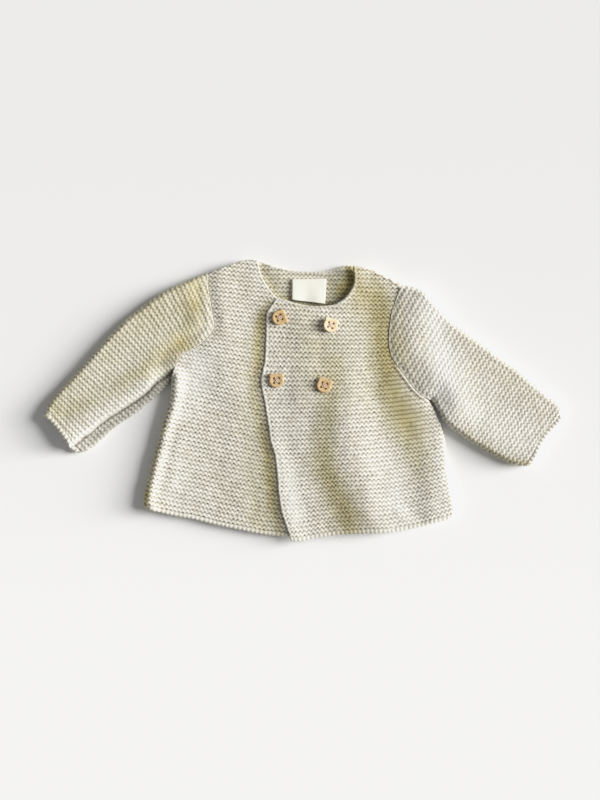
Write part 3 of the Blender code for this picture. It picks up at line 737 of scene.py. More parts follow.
def panel_map(hem, middle, slopes, bow=0.0):
    """Stitch s and ridge r to the plane; slopes are (r, slope of the row) pairs.

    Rows follow the hem at first and turn to the slopes further up; columns
    stay square to the rows.
    """
    table = np.asarray(slopes, float)
    rr = np.linspace(-6, 90, 400)
    m_hem = (hem(middle + 40) - hem(middle - 40)) / 80
    follow = 1 - smoothstep(rr / 26.0)
    m = follow * m_hem + (1 - follow) * np.interp(rr, table[:, 0], table[:, 1])
    lean = np.concatenate(([0.0], np.cumsum(-0.5 * (m[1:] + m[:-1]) * np.diff(rr) * RIDGE)))
    lean -= np.interp(0.0, rr, lean)

    def forward(s, r):
        f = np.interp(r, rr, follow)
        u = s * STITCH
        row = f * (hem(middle + u) - hem(np.array(middle))) + (1 - f) * (np.interp(r, table[:, 0], table[:, 1]) * u
                                                                          + bow * (u / 100.0) ** 2)
        return np.column_stack((middle + u + np.interp(r, rr, lean), hem(np.array(middle)) + r * RIDGE + row))
    return forward


def sleeve_map(start, turns, spacing):
    """Stitch s across and ridge r along a sleeve, from the middle of its cuff.

    turns: (ridge, direction of the row in degrees); spacing: (ridge, height of a row over RIDGE).
    """
    start = px([start])[0]
    rr = np.linspace(-8, 70, 300)
    ang = np.radians(lerp_table(turns, rr))
    step = lerp_table(spacing, rr)
    for _ in range(80):
        ang[1:-1] = 0.5 * ang[1:-1] + 0.25 * (ang[:-2] + ang[2:])
        step[1:-1] = 0.5 * step[1:-1] + 0.25 * (step[:-2] + step[2:])
    u = np.column_stack((-np.sin(ang), np.cos(ang))) * step[:, None]
    run = np.vstack((np.zeros(2), np.cumsum(0.5 * (u[1:] + u[:-1]) * np.diff(rr)[:, None] * RIDGE, axis=0)))
    run -= np.array([np.interp(0.0, rr, run[:, 0]), np.interp(0.0, rr, run[:, 1])])

    def forward(s, r):
        a = np.interp(r, rr, ang)
        return np.column_stack((start[0] + np.interp(r, rr, run[:, 0]) + s * STITCH * np.cos(a),
                                start[1] + np.interp(r, rr, run[:, 1]) + s * STITCH * np.sin(a)))
    return forward


def coarse(curve, step=4):
    """The same curve with fewer points, ends kept."""
    return Curve(np.vstack((curve[:-1:step], curve[-1:])))


def outward(xy):
    """Plan normals of a counter-clockwise loop, softened over its neighbours."""
    t = np.zeros_like(xy)
    for k in range(1, 8):
        t += np.roll(xy, -k, axis=0) - np.roll(xy, k, axis=0)
    t /= np.linalg.norm(t, axis=1)[:, None]
    return np.column_stack((t[:, 1], -t[:, 0]))


def rim(builder, top_ids, xy, z, floor_z, out, steps, s, r):
    """Rings from the outline down and in to the underside; returns the last ring."""
    ids = top_ids
    last = None
    for inset, share in steps:
        p = xy - out * inset
        zz = floor_z + (z - floor_z) * share
        new = builder.add(np.column_stack((p, zz)), np.column_stack((s, r, 0.42 + 0.48 * np.abs(np.sin(pi * (s + r))))))
        nxt = np.roll(ids, -1)
        nnew = np.roll(new, -1)
        builder.faces(np.column_stack((ids, new, nnew, nxt)))
        ids, last = new, p
    return ids, last


def attach_fill(builder, ring_ids, ring_xy, heights, spacing, up, holes=()):
    """Closes a ring (and holes, given as (ids, xy)) with a sparse triangle sheet."""
    loops = [ring_xy] + [h[1] for h in holes]
    points, tri = fill(loops, spacing)
    fixed = np.concatenate([ring_ids] + [h[0] for h in holes])
    extra = points[len(fixed):]
    new = builder.add(np.column_stack((extra, heights(extra))))
    index = np.concatenate((fixed, new))
    tri = index[tri]
    builder.faces(tri if up else tri[:, ::-1])


# ------------------------------------------------------------------ fronts
def front(name, edges_px, order, forward, s_range, r_range, high, low, beads, seed, mat, puff, thin=None, extra=None):
    edges = {n: smooth_curve(px(p)) for n, p in edges_px.items()}
    outline, names = ring_of(edges, order)
    sheet = Sheet(forward, s_range, r_range, 6, 7, outline, names)
    xy, s, r = sheet.xy, sheet.s, sheet.r
    loop = sheet.loop
    edge = np.array(sheet.edge)
    out = outward(xy[loop])

    # Each ridge and each stitch shows at the outline as a small bump.
    wave = np.where(edge == "hem", np.abs(np.sin(pi * s[loop])) ** 0.6 - 0.6,
                    np.where(edge == "neck", 0.6 * (np.abs(np.sin(pi * s[loop])) - 0.6),
                             np.where(edge == "armhole", 0.0, 0.8 * (np.abs(np.sin(pi * (r[loop] - 0.25))) - 0.6))))
    xy[loop] += out * (0.42 * wave)[:, None]

    dist = {n: coarse(c).nearest(xy)[0] for n, c in edges.items()}
    z = high(xy) + puff * np.exp(-((dist["side"] - 5.5) / 6.0) ** 2)
    drops = {"hem": (2.0, 1.9), "edge": (0.9, 0.45), "hidden": (2.3, 1.6), "neck": (2.0, 1.1),
             "shoulder": (1.6, 1.1), "armhole": (1.0, 0.35), "side": (3.2, 2.6)}
    fall = np.zeros(len(xy))
    for n, d in dist.items():
        radius, drop = drops[n]
        fall = np.maximum(fall, round_off(d, radius, drop))
    z = z - fall

    h = garter(s, r, seed, 0.175, thin(xy) if thin else 0.0)
    band = 1 - smoothstep((dist["hem"] - 2.9) / 1.2)
    h = h * (1 - band) + ribs(s, seed) * band
    z -= 0.3 * np.exp(-((dist["hem"] - 4.0) / 0.7) ** 2)
    for n, (wide, lift, plain) in beads.items():
        d = dist[n]
        on = 1 - smoothstep((d - wide + 0.5) / 0.9)
        h = h * (1 - on * plain) + (0.66 + 0.16 * noise2(s * 1.9, r * 1.9, seed + 9)) * on * plain
        z += lift * np.exp(-((d - wide * 0.5) / (wide * 0.42)) ** 2)
        z -= 0.45 * lift * np.exp(-((d - wide - 0.7) / 0.6) ** 2)
    for n in ("side", "armhole"):
        h = 1 - (1 - h) * (0.45 + 0.55 * smoothstep(dist[n] / 1.6))
    if extra is not None:
        h, z = extra(xy, s, r, h, z, dist)
    base = np.column_stack((xy, z))
    nor = normals_of(base, sheet.quads)
    top = base - nor * (DEPTH * (1 - np.clip(h, 0, 1.05)))[:, None]

    b = Builder()
    b.painted_tone_name = name.replace("_knit", "")
    ids = b.add(top, np.column_stack((s, r, h)))
    b.faces(ids[sheet.quads])

    ring, ring_xy = rim(b, ids[loop], xy[loop], top[loop, 2], low(xy[loop]), out,
                        ((0.35, 0.55), (0.8, 0.16), (1.25, 0.0)), s[loop], r[loop])
    attach_fill(b, ring, ring_xy, low, 6.0, up=False)
    obj = b.build(name, mat)
    return obj, sheet, dist


def high_right(q):
    return FRONT + fold_lift(q)


def low_right(q):
    return high_right(q) - WALL


def high_left(q):
    """The cloth is pressed thinner where it laps over the other front, most at its edge."""
    inner = smoothstep((LF_EDGE.nearest(q)[0] - 4.0) / 30.0)
    return FRONT + fold_lift(q) + (1 - (2.1 - 0.6 * inner) / LAP) * lap_lift(q)


def low_left(q):
    return FRONT + fold_lift(q) + lap_lift(q) - WALL


# ------------------------------------------------------------------ sleeves
def sleeve(name, edges_px, order, forward, s_range, r_range, insets, seed, mat, shape, swing):
    """A flattened tube: knitted top and bottom, and a plain inner face."""
    edges = {n: smooth_curve(px(p)) for n, p in edges_px.items() if n != "fold"}
    outline, names = ring_of(edges, order)
    sheet = Sheet(forward, s_range, r_range, 6, 7, outline, names)
    xy, s, r = sheet.xy, sheet.s, sheet.r
    loop = sheet.loop
    edge = np.array(sheet.edge)
    n_loop = len(loop)
    # Start the loop at the first cuff point.
    is_cuff = edge == "cuff"
    first = [k for k in range(n_loop) if is_cuff[k] and not is_cuff[k - 1]][0]
    loop = np.roll(loop, -first)
    edge = np.roll(edge, -first)
    sides = np.isin(edge, ("upper", "lower"))
    out = outward(xy[loop])
    wave = np.where(edge == "cuff", np.abs(np.sin(pi * s[loop])) ** 0.6 - 0.6,
                    np.where(edge == "armhole", 0.0, 0.8 * (np.abs(np.sin(pi * (r[loop] - 0.25))) - 0.6)))
    xy[loop] += out * (0.42 * wave)[:, None]

    dist = {n: coarse(c).nearest(xy)[0] for n, c in edges.items()}
    side_d = np.minimum(dist["upper"], dist["lower"])
    mid, top_z, low_z, calm = shape(xy, dist)
    t = np.clip(1 - side_d / 4.6, 0, 1)
    roll = np.sqrt(1 - t * t)
    fall = np.maximum(round_off(dist["cuff"], 2.0, 1.7), round_off(dist["armhole"], 0.8, 0.12))
    z_top = mid + (top_z - mid - fall) * roll
    z_low = mid - (mid - low_z - fall) * roll

    def relief(s, r, seed):
        h = garter(s, r, seed, swing, 0.0, 1.0)
        band = 1 - smoothstep((dist["cuff"] - 3.6) / 1.3)
        h = h * (1 - band) + np.clip(1.5 * ribs(s, seed) - 0.42, 0, 1) * band
        return 1 - (1 - h) * (0.45 + 0.55 * smoothstep(dist["armhole"] / 1.6))

    h = 1 - (1 - relief(s, r, seed)) * calm
    groove = 0.5 * np.exp(-((dist["cuff"] - 4.7) / 0.6) ** 2)
    base = np.column_stack((xy, z_top - groove * roll))
    nor = normals_of(base, sheet.quads)
    top = base - nor * (DEPTH * (1 - np.clip(h, 0, 1.05)))[:, None]
    h2 = relief(s + 0.37, r + 0.5, seed + 40)
    base2 = np.column_stack((xy, z_low + groove * roll))
    nor2 = -normals_of(base2, sheet.quads)
    low = base2 - nor2 * (DEPTH * (1 - np.clip(h2, 0, 1.0)))[:, None]
    low[:, 2] = np.maximum(low[:, 2], 0.0)

    b = Builder()
    b.painted_tone_name = name.replace("_knit", "")
    ids = b.add(top, np.column_stack((s, r, h)))
    b.faces(ids[sheet.quads])
    shared = np.zeros(len(xy), bool)
    shared[loop[sides]] = True
    own = np.where(~shared)[0]
    low_ids = ids.copy()
    low_ids[own] = b.add(low[own], np.column_stack((s + 0.37, r + 0.5, h2))[own])
    b.faces(low_ids[sheet.quads][:, ::-1])

    # Chains of the two openings, each with a shared point at both ends.
    def chain(which):
        k = np.where(edge == which)[0]
        if (np.diff(k) > 1).any():
            cut = np.where(np.diff(k) > 1)[0][0]
            k = np.concatenate((k[cut + 1:], k[:cut + 1]))
        return np.concatenate(([k[0] - 1], k, [(k[-1] + 1) % n_loop]))

    def ends(k, inset0, inset1):
        p = xy[loop[k]]
        run = np.concatenate(([0.0], np.cumsum(np.linalg.norm(np.diff(p, axis=0), axis=1))))
        return int(np.searchsorted(run, inset0)), int(np.searchsorted(run, run[-1] - inset1))

    cuff, arm = chain("cuff"), chain("armhole")
    # Counter-clockwise order: cuff, the edge after it, armhole, the other edge.
    after = edge[(cuff[-1] + 2) % n_loop]
    before = "upper" if after == "lower" else "lower"
    c0, c1 = ends(cuff, insets[before], insets[after])
    a0, a1 = ends(arm, insets[after], insets[before])
    smooth_xy = xy[loop] - out * 1.3
    cuff_in = smooth_xy[cuff][c0:c1 + 1]
    arm_in = smooth_xy[arm][a0:a1 + 1]

    def side_in(which, start, stop):
        c = edges[which]
        if np.linalg.norm(c[0] - start) > np.linalg.norm(c[-1] - start):
            c = c[::-1]
        n = 26
        p = c[np.linspace(0, len(c) - 1, n).astype(int)]
        tan = np.gradient(p, axis=0)
        tan /= np.linalg.norm(tan, axis=1)[:, None]
        nin = np.column_stack((-tan[:, 1], tan[:, 0]))
        p = p + nin * insets[which]
        f = np.linspace(0, 1, n)[:, None]
        d = p - start
        keep = p + (start - p[0]) * (1 - f) ** 4 + (stop - p[-1]) * f ** 4
        return keep[1:-1]

    side_a = side_in(after, cuff_in[-1], arm_in[0])
    side_b = side_in(before, arm_in[-1], cuff_in[0])
    ring_xy = np.vstack((cuff_in, side_a, arm_in, side_b))
    nc, na = len(cuff_in), len(arm_in)
    kinds = np.array(["c"] * nc + ["s"] * len(side_a) + ["a"] * na + ["s"] * len(side_b))
    kinds[[0, nc - 1]] = "s"
    kinds[[nc + len(side_a), nc + len(side_a) + na - 1]] = "s"
    points, tri = fill([ring_xy], 7.0)
    bound = Curve(np.vstack((side_a, arm_in[:1])))
    bound2 = Curve(np.vstack((side_b, cuff_in[:1])))
    d_in = np.minimum(bound.nearest(points)[0], bound2.nearest(points)[0])
    alld = {n: coarse(c).nearest(points)[0] for n, c in edges.items()}
    m_in, t_in, l_in, _ = shape(points, alld)
    e = np.sqrt(1 - np.clip(1 - d_in / 4.0, 0, 1) ** 2)
    zt = m_in + (np.maximum(t_in - WALL, m_in + 0.1) - m_in) * e
    zl = m_in - (m_in - np.minimum(l_in + WALL, m_in - 0.1)) * e
    edge_pt = np.zeros(len(points), bool)
    edge_pt[:len(ring_xy)] = kinds == "s"
    zt[edge_pt] = m_in[edge_pt]
    in_top = b.add(np.column_stack((points, zt)))
    in_low = in_top.copy()
    own = ~edge_pt
    in_low[own] = b.add(np.column_stack((points, zl))[own])
    b.faces(in_top[tri][:, ::-1])
    b.faces(in_low[tri])

    def join(k, first_in, count, lo, hi):
        """Strip between an opening's outer ring and its inner ring."""
        at = np.clip(np.arange(len(k)), lo, hi) - lo + first_in
        for outer, inner in ((ids, in_top), (low_ids, in_low)):
            o = outer[loop[k]]
            i = inner[at]
            quads = []
            for j in range(len(k) - 1):
                q = [o[j], o[j + 1], i[j + 1], i[j]]
                q = [v for m, v in enumerate(q) if v != q[m - 1]]
                if len(q) >= 3:
                    quads.append(q if outer is low_ids else q[::-1])
            b.f += [[int(v) for v in q] for q in quads]

    join(cuff, 0, nc, c0, c1)
    join(arm, nc + len(side_a), na, a0, a1)
    obj = b.build(name, mat)
    return obj, sheet


def plain_tube(q, dist):
    """Middle, top and bottom heights of a sleeve lying flat."""
    high = SEAM_HIGH + (PUFF - SEAM_HIGH) * smoothstep(dist["armhole"] / 24.0) + 0.5 * (1 - smoothstep(dist["cuff"] / 16.0))
    return 0.5 * high, high, np.zeros(len(q)), np.ones(len(q))


def folded_tube(q, dist):
    """The right sleeve: its under part lies out past a long fold, and a roll runs by the armhole."""
    mid, top, low, calm = plain_tube(q, dist)
    d, _, side = coarse(smooth_curve(px(RS["fold"]))).nearest(q, True)
    over = -side * d
    strip = 7.0 - 2.6 * np.exp(-(over / 1.5) ** 2)
    t = 1 - np.clip(over / 4.6, 0, 1)
    upper = 4.4 + (top - 4.4) * np.sqrt(1 - t * t)
    y = MID[1] - q[:, 1] / SQ
    part = smoothstep((y - 274) / 20.0) * smoothstep((350 - y) / 14.0)
    upper += part * (0.35 * np.exp(-((dist["armhole"] - 5.0) / 2.2) ** 2)
                     - 0.5 * np.exp(-((dist["armhole"] - 10.5) / 3.6) ** 2))
    upper += 1.6 * np.exp(-((over - 12.0) / 13.0) ** 2)
    top = np.where(over < 0, strip, upper)
    mid = np.where(dist["lower"] < dist["upper"], 3.4, mid)
    return mid, top, low, 0.45 + 0.55 * smoothstep(d / 1.8)


def capped_tube(q, dist):
    """The left sleeve: it rises quickly past the seam to a broad crest and falls away from it."""
    d = dist["armhole"]
    high = 9.5 + 0.9 * smoothstep(d / 7.0) + 0.4 * (1 - smoothstep(dist["cuff"] / 16.0))
    high += 1.9 * smoothstep(d / 26.0) * (1 - 0.8 * smoothstep((d - 26.0) / 28.0))
    high += 1.1 * np.exp(-((dist["lower"] - 15.0) / 15.0) ** 2) * smoothstep(d / 26.0)
    n = len(q)
    return 0.5 * high, high, np.zeros(n), np.ones(n)


# ------------------------------------------------------------------ materials
def node_material(name):
    mat = bpy.data.materials.new(name)
    mat.use_nodes = True
    nt = mat.node_tree
    nt.nodes.clear()
    out = nt.nodes.new("ShaderNodeOutputMaterial")
    bsdf = nt.nodes.new("ShaderNodeBsdfPrincipled")
    nt.links.new(bsdf.outputs[0], out.inputs[0])
    return mat, nt, bsdf


class Nodes:
    """Short calls for wiring a material."""

    def __init__(self, nt):
        self.nt = nt

    def new(self, kind, **props):
        n = self.nt.nodes.new(kind)
        for k, v in props.items():
            setattr(n, k, v)
        return n

    def put(self, socket, value):
        if hasattr(value, "links"):
            self.nt.links.new(value, socket)
        else:
            socket.default_value = value

    def math(self, op, a, b=0.0, c=0.0, clamp=False):
        n = self.new("ShaderNodeMath", operation=op, use_clamp=clamp)
        for sock, v in zip(n.inputs, (a, b, c)):
            self.put(sock, v)
        return n.outputs[0]

    def ramp(self, value, lo, hi, to_lo=0.0, to_hi=1.0, smooth=True):
        n = self.new("ShaderNodeMapRange", interpolation_type="SMOOTHSTEP" if smooth else "LINEAR")
        for sock, v in zip(n.inputs, (value, lo, hi, to_lo, to_hi)):
            self.put(sock, v)
        return n.outputs[0]

    def mix(self, a, b, fac, blend="MIX"):
        n = self.new("ShaderNodeMix", data_type="RGBA", blend_type=blend)
        self.put(n.inputs[0], fac)
        self.put(n.inputs[6], a)
        self.put(n.inputs[7], b)
        return n.outputs[2]

    def noise(self, vector, scale, detail=2.0, rough=0.5):
        n = self.new("ShaderNodeTexNoise")
        self.put(n.inputs["Vector"], vector)
        n.inputs["Scale"].default_value = scale
        n.inputs["Detail"].default_value = detail
        n.inputs["Roughness"].default_value = rough
        return n.outputs[0]

    def vector(self, x, y, z=0.0):
        n = self.new("ShaderNodeCombineXYZ")
        for sock, v in zip(n.inputs, (x, y, z)):
            self.put(sock, v)
        return n.outputs[0]


def knit_material(name, light=(0.895, 0.865, 0.765), painted_hole_shade=(0.12, 0.096, 0.048)):
    mat, nt, bsdf = node_material(name)
    n = Nodes(nt)
    att = n.new("ShaderNodeAttribute", attribute_name="knit")
    sep = n.new("ShaderNodeSeparateXYZ")
    nt.links.new(att.outputs["Vector"], sep.inputs[0])
    s, r, h = sep.outputs[0], sep.outputs[1], sep.outputs[2]
    pos = n.new("ShaderNodeTexCoord").outputs["Object"]
    # Fibres: fine streaks that run with the yarn, and its two-ply twist.
    twist = n.math("SINE", n.math("MULTIPLY", n.math("ADD", n.math("MULTIPLY", s, 4.0), n.math("MULTIPLY", r, 2.2)), 2 * pi))
    fibre = n.noise(n.vector(n.math("MULTIPLY", s, 9.0), n.math("MULTIPLY", r, 30.0)), 1.0, 3.0, 0.6)
    fuzz = n.noise(pos, 2600.0, 3.0, 0.65)
    blotch = n.noise(pos, 55.0, 3.0, 0.55)
    yarn = n.noise(n.vector(n.math("MULTIPLY", s, 0.55), n.math("FLOOR", r)), 1.0, 2.0, 0.5)
    # Painted shade: the colour darkens from the crests into the holes with the stitch height.
    open_ = n.ramp(h, 0.08, 0.92, smooth=False)
    col = n.mix(painted_hole_shade + (1,), light + (1,), open_)
    col = n.mix(col, (0.93, 0.92, 0.86, 1), n.ramp(fibre, 0.45, 0.85, 0.0, 0.35))
    col = n.mix(col, (0.52, 0.47, 0.30, 1), n.ramp(blotch, 0.50, 0.80, 0.0, 0.22))
    col = n.mix(col, (0.60, 0.55, 0.40, 1), n.ramp(yarn, 0.50, 0.85, 0.0, 0.25))
    # Painted shade and painted light: olive multiplied in where the tint is positive, a paler neutral where it is
    # negative, and grey dimming in shade.
    painted_tones = n.new("ShaderNodeSeparateXYZ")
    nt.links.new(n.new("ShaderNodeAttribute", attribute_name="painted_tone").outputs["Vector"], painted_tones.inputs[0])
    painted_tone = painted_tones.outputs[0]
    painted_olive_shade = n.mix(col, (0.625, 0.555, 0.285, 1), 1.0, "MULTIPLY")
    col = n.mix(col, painted_olive_shade, n.ramp(painted_tone, 0.0, 1.0, 0.0, 1.0, smooth=False))
    col = n.mix(col, (0.915, 0.905, 0.865, 1), n.ramp(painted_tone, 0.0, -0.5, 0.0, 0.65, smooth=False))
    col = n.mix(col, n.mix(col, (0.42, 0.42, 0.42, 1), 1.0, "MULTIPLY"), painted_tones.outputs[1])
    nt.links.new(col, bsdf.inputs["Base Color"])
    bsdf.inputs["Roughness"].default_value = 0.92
    bsdf.inputs["Specular IOR Level"].default_value = 0.18
    bsdf.inputs["Sheen Weight"].default_value = 0.25
    bsdf.inputs["Sheen Roughness"].default_value = 0.5
    bsdf.inputs["Sheen Tint"].default_value = (0.95, 0.93, 0.85, 1)
    bump = n.new("ShaderNodeBump")
    bump.inputs["Strength"].default_value = 0.55
    bump.inputs["Distance"].default_value = 0.00030
    hh = n.math("ADD", n.math("MULTIPLY", twist, 0.30), n.math("ADD", n.math("MULTIPLY", fibre, 0.7), n.math("MULTIPLY", fuzz, 0.6)))
    nt.links.new(hh, bump.inputs["Height"])
    nt.links.new(bump.outputs[0], bsdf.inputs["Normal"])
    return mat


knit_mat = knit_material("cream_knit")

# ------------------------------------------------------------------ camera
CAM_XY = (-3.19, 0.86)
cam_data = bpy.data.cameras.new("camera")
cam_data.sensor_fit = "VERTICAL"
cam_data.sensor_height = 24.0
cam_data.clip_end = 20.0
distance = 2.2
cam_data.lens = 24.0 * (distance - 0.006) / 0.760
cam = bpy.data.objects.new("camera", cam_data)
cam.location = (CAM_XY[0] / 1000, CAM_XY[1] / 1000, distance)
bpy.context.scene.collection.objects.link(cam)
bpy.context.scene.camera = cam

# ------------------------------------------------------------------ pieces
rf_hem = hem_line(RF["hem"][:-2])
lf_hem = hem_line(LF["hem"])
LF_EDGE = coarse(Curve(smooth_curve(px(LF["edge"]))).p)


def right_extra(xy, s, r, h, z, dist):
    """The right front swells a little where the left one's edge lies against it."""
    d, _, side = LF_EDGE.nearest(xy, True)
    out = np.where(side < 0, d, -d)
    z = z + 0.75 * np.exp(-(np.maximum(out - 0.6, 0) / 3.2) ** 2) * smoothstep((out + 1.6) / 1.8) * smoothstep((dist["neck"] - 2.0) / 6.0)
    # The seam with the sleeve draws the upper armhole down.
    y = MID[1] - xy[:, 1] / SQ
    z = z - 1.25 * np.exp(-(dist["armhole"] / 7.0) ** 2) * smoothstep((y - 256) / 14.0) * smoothstep((352 - y) / 20.0)
    return h, z


def left_thin(xy):
    """Where the left front is drawn out towards the armhole, its grooves are plain lines."""
    q = np.column_stack((xy[:, 0] / SQ + MID[0], MID[1] - xy[:, 1] / SQ))
    return np.clip(band_sum([[(390, 370, 0.3, 9), (396, 390, 0.9, 12), (404, 408, 1.0, 13), (414, 428, 0.9, 13),
                              (420, 448, 0.3, 10)]], q), 0, 1)


def left_extra(xy, s, r, h, z, dist):
    """The cloth rises by the upper armhole and dips along the shoulder seam, and a smooth welt stands along the lower
    armhole.
    """
    x = xy[:, 0] / SQ + MID[0]
    y = MID[1] - xy[:, 1] / SQ
    z = z + 1.4 * np.exp(-(dist["armhole"] / 15.0) ** 2) * smoothstep((y - 282) / 16.0) * smoothstep((402 - y) / 30.0)
    seam = np.exp(-((dist["shoulder"] - 2.7) / 0.55) ** 2) * smoothstep((x - 364) / 10.0) * (0.7 + 0.5 * noise2(s * 1.4, r * 1.4, 31))
    z = z - 0.35 * seam
    h = h * (1 - 0.40 * seam)
    part = smoothstep((y - 362) / 8.0)
    welt = part * np.exp(-((dist["armhole"] - 1.8) / 1.5) ** 2)
    z = z + 0.45 * welt - 0.35 * part * np.exp(-((dist["armhole"] - 4.2) / 1.0) ** 2)
    return h * (1 - 0.5 * welt) + (0.72 + 0.2 * np.sin(2 * pi * (s + r))) * 0.5 * welt, z


right_front, rf_sheet, _ = front(
    "right_front_knit", RF, ["hem", "hidden", "neck", "shoulder", "armhole", "side"],
    panel_map(rf_hem, -75.0, [(0, -0.21), (30, -0.22), (45, -0.14), (65, -0.10)]), (-50, 50), (-8, 80),
    high_right, low_right, {"neck": (1.9, 0.15, 0.35)}, 11, knit_mat, 3.3, extra=right_extra)
left_front, lf_sheet, _ = front(
    "left_front_knit", LF, ["edge", "hem", "side", "armhole", "shoulder", "neck"],
    panel_map(lf_hem, 55.0, [(0, 0.07), (22, 0.08), (35, 0.06), (45, -0.01), (65, -0.08)], 5.0), (-50, 50), (-8, 80),
    high_left, low_left, {"neck": (2.8, 0.2, 0.45), "edge": (2.4, 0.25, 0.5)}, 23, knit_mat, 0.6, left_thin, left_extra)

rs_edges = dict(RS)
rs_edges["armhole"] = [(208.4, 272.2), (208.3, 280), (208.4, 289), (210.3, 300), (212.9, 317), (213.9, 327),
                       (210.9, 333.4), (206.9, 337.9), (196.9, 346.9), (185.9, 351.9), (179.9, 356.9), (175.9, 363.9),
                       (171.4, 375), (171, 381.5)]
ls_edges = dict(LS)
ls_edges["armhole"] = [(431.5, 399.5), (428.9, 399.4), (419.1, 393.6), (410.6, 384.1), (404.1, 375.1), (398.0, 367.1),
                       (391.7, 357.1), (388.6, 345), (389.1, 328), (391.6, 311), (394.4, 303.1), (397.9, 293.6),
                       (402.2, 285)]


right_sleeve, rs_sheet = sleeve(
    "right_sleeve_knit", rs_edges, ["upper", "armhole", "lower", "cuff"],
    sleeve_map((59.5, 434.7), [(0, -48), (6, -45), (16, -42.5), (24, -44.5), (32, -53), (40, -63), (48, -67)],
               [(0, 1.0), (60, 1.0)]), (-18, 22), (-4, 60),
    {"upper": 4.2, "lower": 9.0}, 37, knit_mat, folded_tube, 0.12)
left_sleeve, ls_sheet = sleeve(
    "left_sleeve_knit", ls_edges, ["upper", "cuff", "lower", "armhole"],
    sleeve_map((547.0, 440.5), [(0, 54), (10, 53.5), (20, 56), (30, 58), (45, 59)],
               [(0, 1.0), (28, 1.0), (35, 1.13), (60, 1.13)]), (-22, 22), (-4, 60),
    {"upper": 4.2, "lower": 4.2}, 41, knit_mat, capped_tube, 0.15)



def back_panel():
    edges = {n: smooth_curve(px(p)) for n, p in BACK.items()}
    order = ["hem", "side_l", "armhole_l", "top", "armhole_r", "side_r"]
    outline, names = ring_of(edges, order)
    hem = hem_line(BACK["hem"][1:-1])
    forward = panel_map(hem, 0.0, [(0, 0.0), (20, -0.03), (65, -0.02)])
    sheet = Sheet(forward, (-50, 50), (-8, 80), 5, 4.5, outline, names)
    xy, s, r, loop = sheet.xy, sheet.s, sheet.r, sheet.loop
    edge = np.array(sheet.edge)
    out = outward(xy[loop])
    wave = np.where(edge == "hem", np.abs(np.sin(pi * s[loop])) ** 0.6 - 0.6,
                    np.where(np.char.startswith(edge, "side"), 0.8 * (np.abs(np.sin(pi * (r[loop] - 0.25))) - 0.6),
                            np.where(edge == "top", np.abs(np.sin(pi * (s[loop] + 0.4 * r[loop]))) - 0.6, 0.0)))
    xy[loop] += out * (0.4 * wave)[:, None]
    dist = {n: coarse(c).nearest(xy)[0] for n, c in edges.items()}
    rise = np.zeros(len(xy))
    for n, (radius, high) in {"hem": (2.0, 1.7), "side_l": (5.0, 3.1), "side_r": (5.0, 3.1), "armhole_l": (2.4, 1.8),
                              "armhole_r": (2.4, 1.8), "top": (2.6, 2.2)}.items():
        rise = np.maximum(rise, round_off(dist[n], radius, high))
    h = garter(s, r, 61)
    band = 1 - smoothstep((dist["hem"] - 2.9) / 1.2)
    h = h * (1 - band) + ribs(s, 61) * band
    rise += 0.5 * np.exp(-((dist["hem"] - 4.7) / 0.6) ** 2)
    base = np.column_stack((xy, rise))
    nor = -normals_of(base, sheet.quads)
    low = base - nor * (DEPTH * (1 - np.clip(h, 0, 1.0)))[:, None]
    low[:, 2] = np.maximum(low[:, 2], 0.0)
    b = Builder()
    b.painted_tone_name = "back"
    ids = b.add(low, np.column_stack((s, r, h)))
    b.faces(ids[sheet.quads][:, ::-1])

    # The strip along the left shoulder stands as high as the seam it is sewn to.
    strip = Curve(smooth_curve(px([(399.5, 285.5), (394, 280.4), (387, 277.0), (380, 273.6), (373, 270.2), (366, 268.0)]), 1.0))

    def face(q):
        px_x = q[:, 0] / SQ + MID[0]
        d, _ = strip.nearest(q)
        front_d, _, side = coarse(smooth_curve(px(LF["shoulder"]))).nearest(q, True)
        beyond = smoothstep((front_d * np.where(side < 0, 1, -1) + 0.1) / 0.9)
        px_y = MID[1] - q[:, 1] / SQ
        neck = smoothstep((px_x - 322) / 26.0) * (1 - smoothstep((px_x - 350) / 5.0)) * np.exp(-((px_y - 274) / 24.0) ** 2)
        return WALL + 1.5 * neck + 3.0 * beyond * np.exp(-(d / 5.0) ** 2) * smoothstep((px_x - 362) / 8.0)

    ring, ring_xy = rim(b, ids[loop], xy[loop], low[loop, 2], face(xy[loop]), out,
                        ((0.30, 0.55), (0.75, 0.16), (1.3, 0.0)), s[loop], r[loop])

    # The part of the face that shows in the neck and along the shoulder is knitted.
    top_line = smooth_curve(px(BACK["top"]))
    tan = np.gradient(top_line, axis=0)
    tan /= np.linalg.norm(tan, axis=1)[:, None]
    upper = top_line + np.column_stack((-tan[:, 1], tan[:, 0])) * 2.0
    upper = upper[14:-14]
    under = smooth_curve(np.vstack((upper[-1:], px([(226, 274), (240, 270), (251, 271), (262, 285), (272, 299), (288, 309), (308, 313),
                                                    (332, 311.5), (348, 305), (358, 293), (361, 281), (366, 275), (378, 281),
                                                    (388, 287)]), upper[:1])), 0.3)
    patch_edges = {"upper": upper, "under": under}
    patch_line, patch_names = ring_of(patch_edges, ["upper", "under"])
    patch = Sheet(forward, (-50, 50), (30, 80), 6, 7, patch_line, patch_names)
    ps, pr = patch.s, patch.r
    ph = garter(ps, pr, 67)
    pbase = np.column_stack((patch.xy, face(patch.xy)))
    pn = normals_of(pbase, patch.quads)
    ptop = pbase - pn * (DEPTH * (1 - np.clip(ph, 0, 1.0)))[:, None]
    pids = b.add(ptop, np.column_stack((ps, pr, ph)))
    b.faces(pids[patch.quads])
    attach_fill(b, ring, ring_xy, face, 6.0, up=True, holes=[(pids[patch.loop], patch.xy[patch.loop])])
    return b.build("back_knit", knit_mat), sheet


back, back_sheet = back_panel()


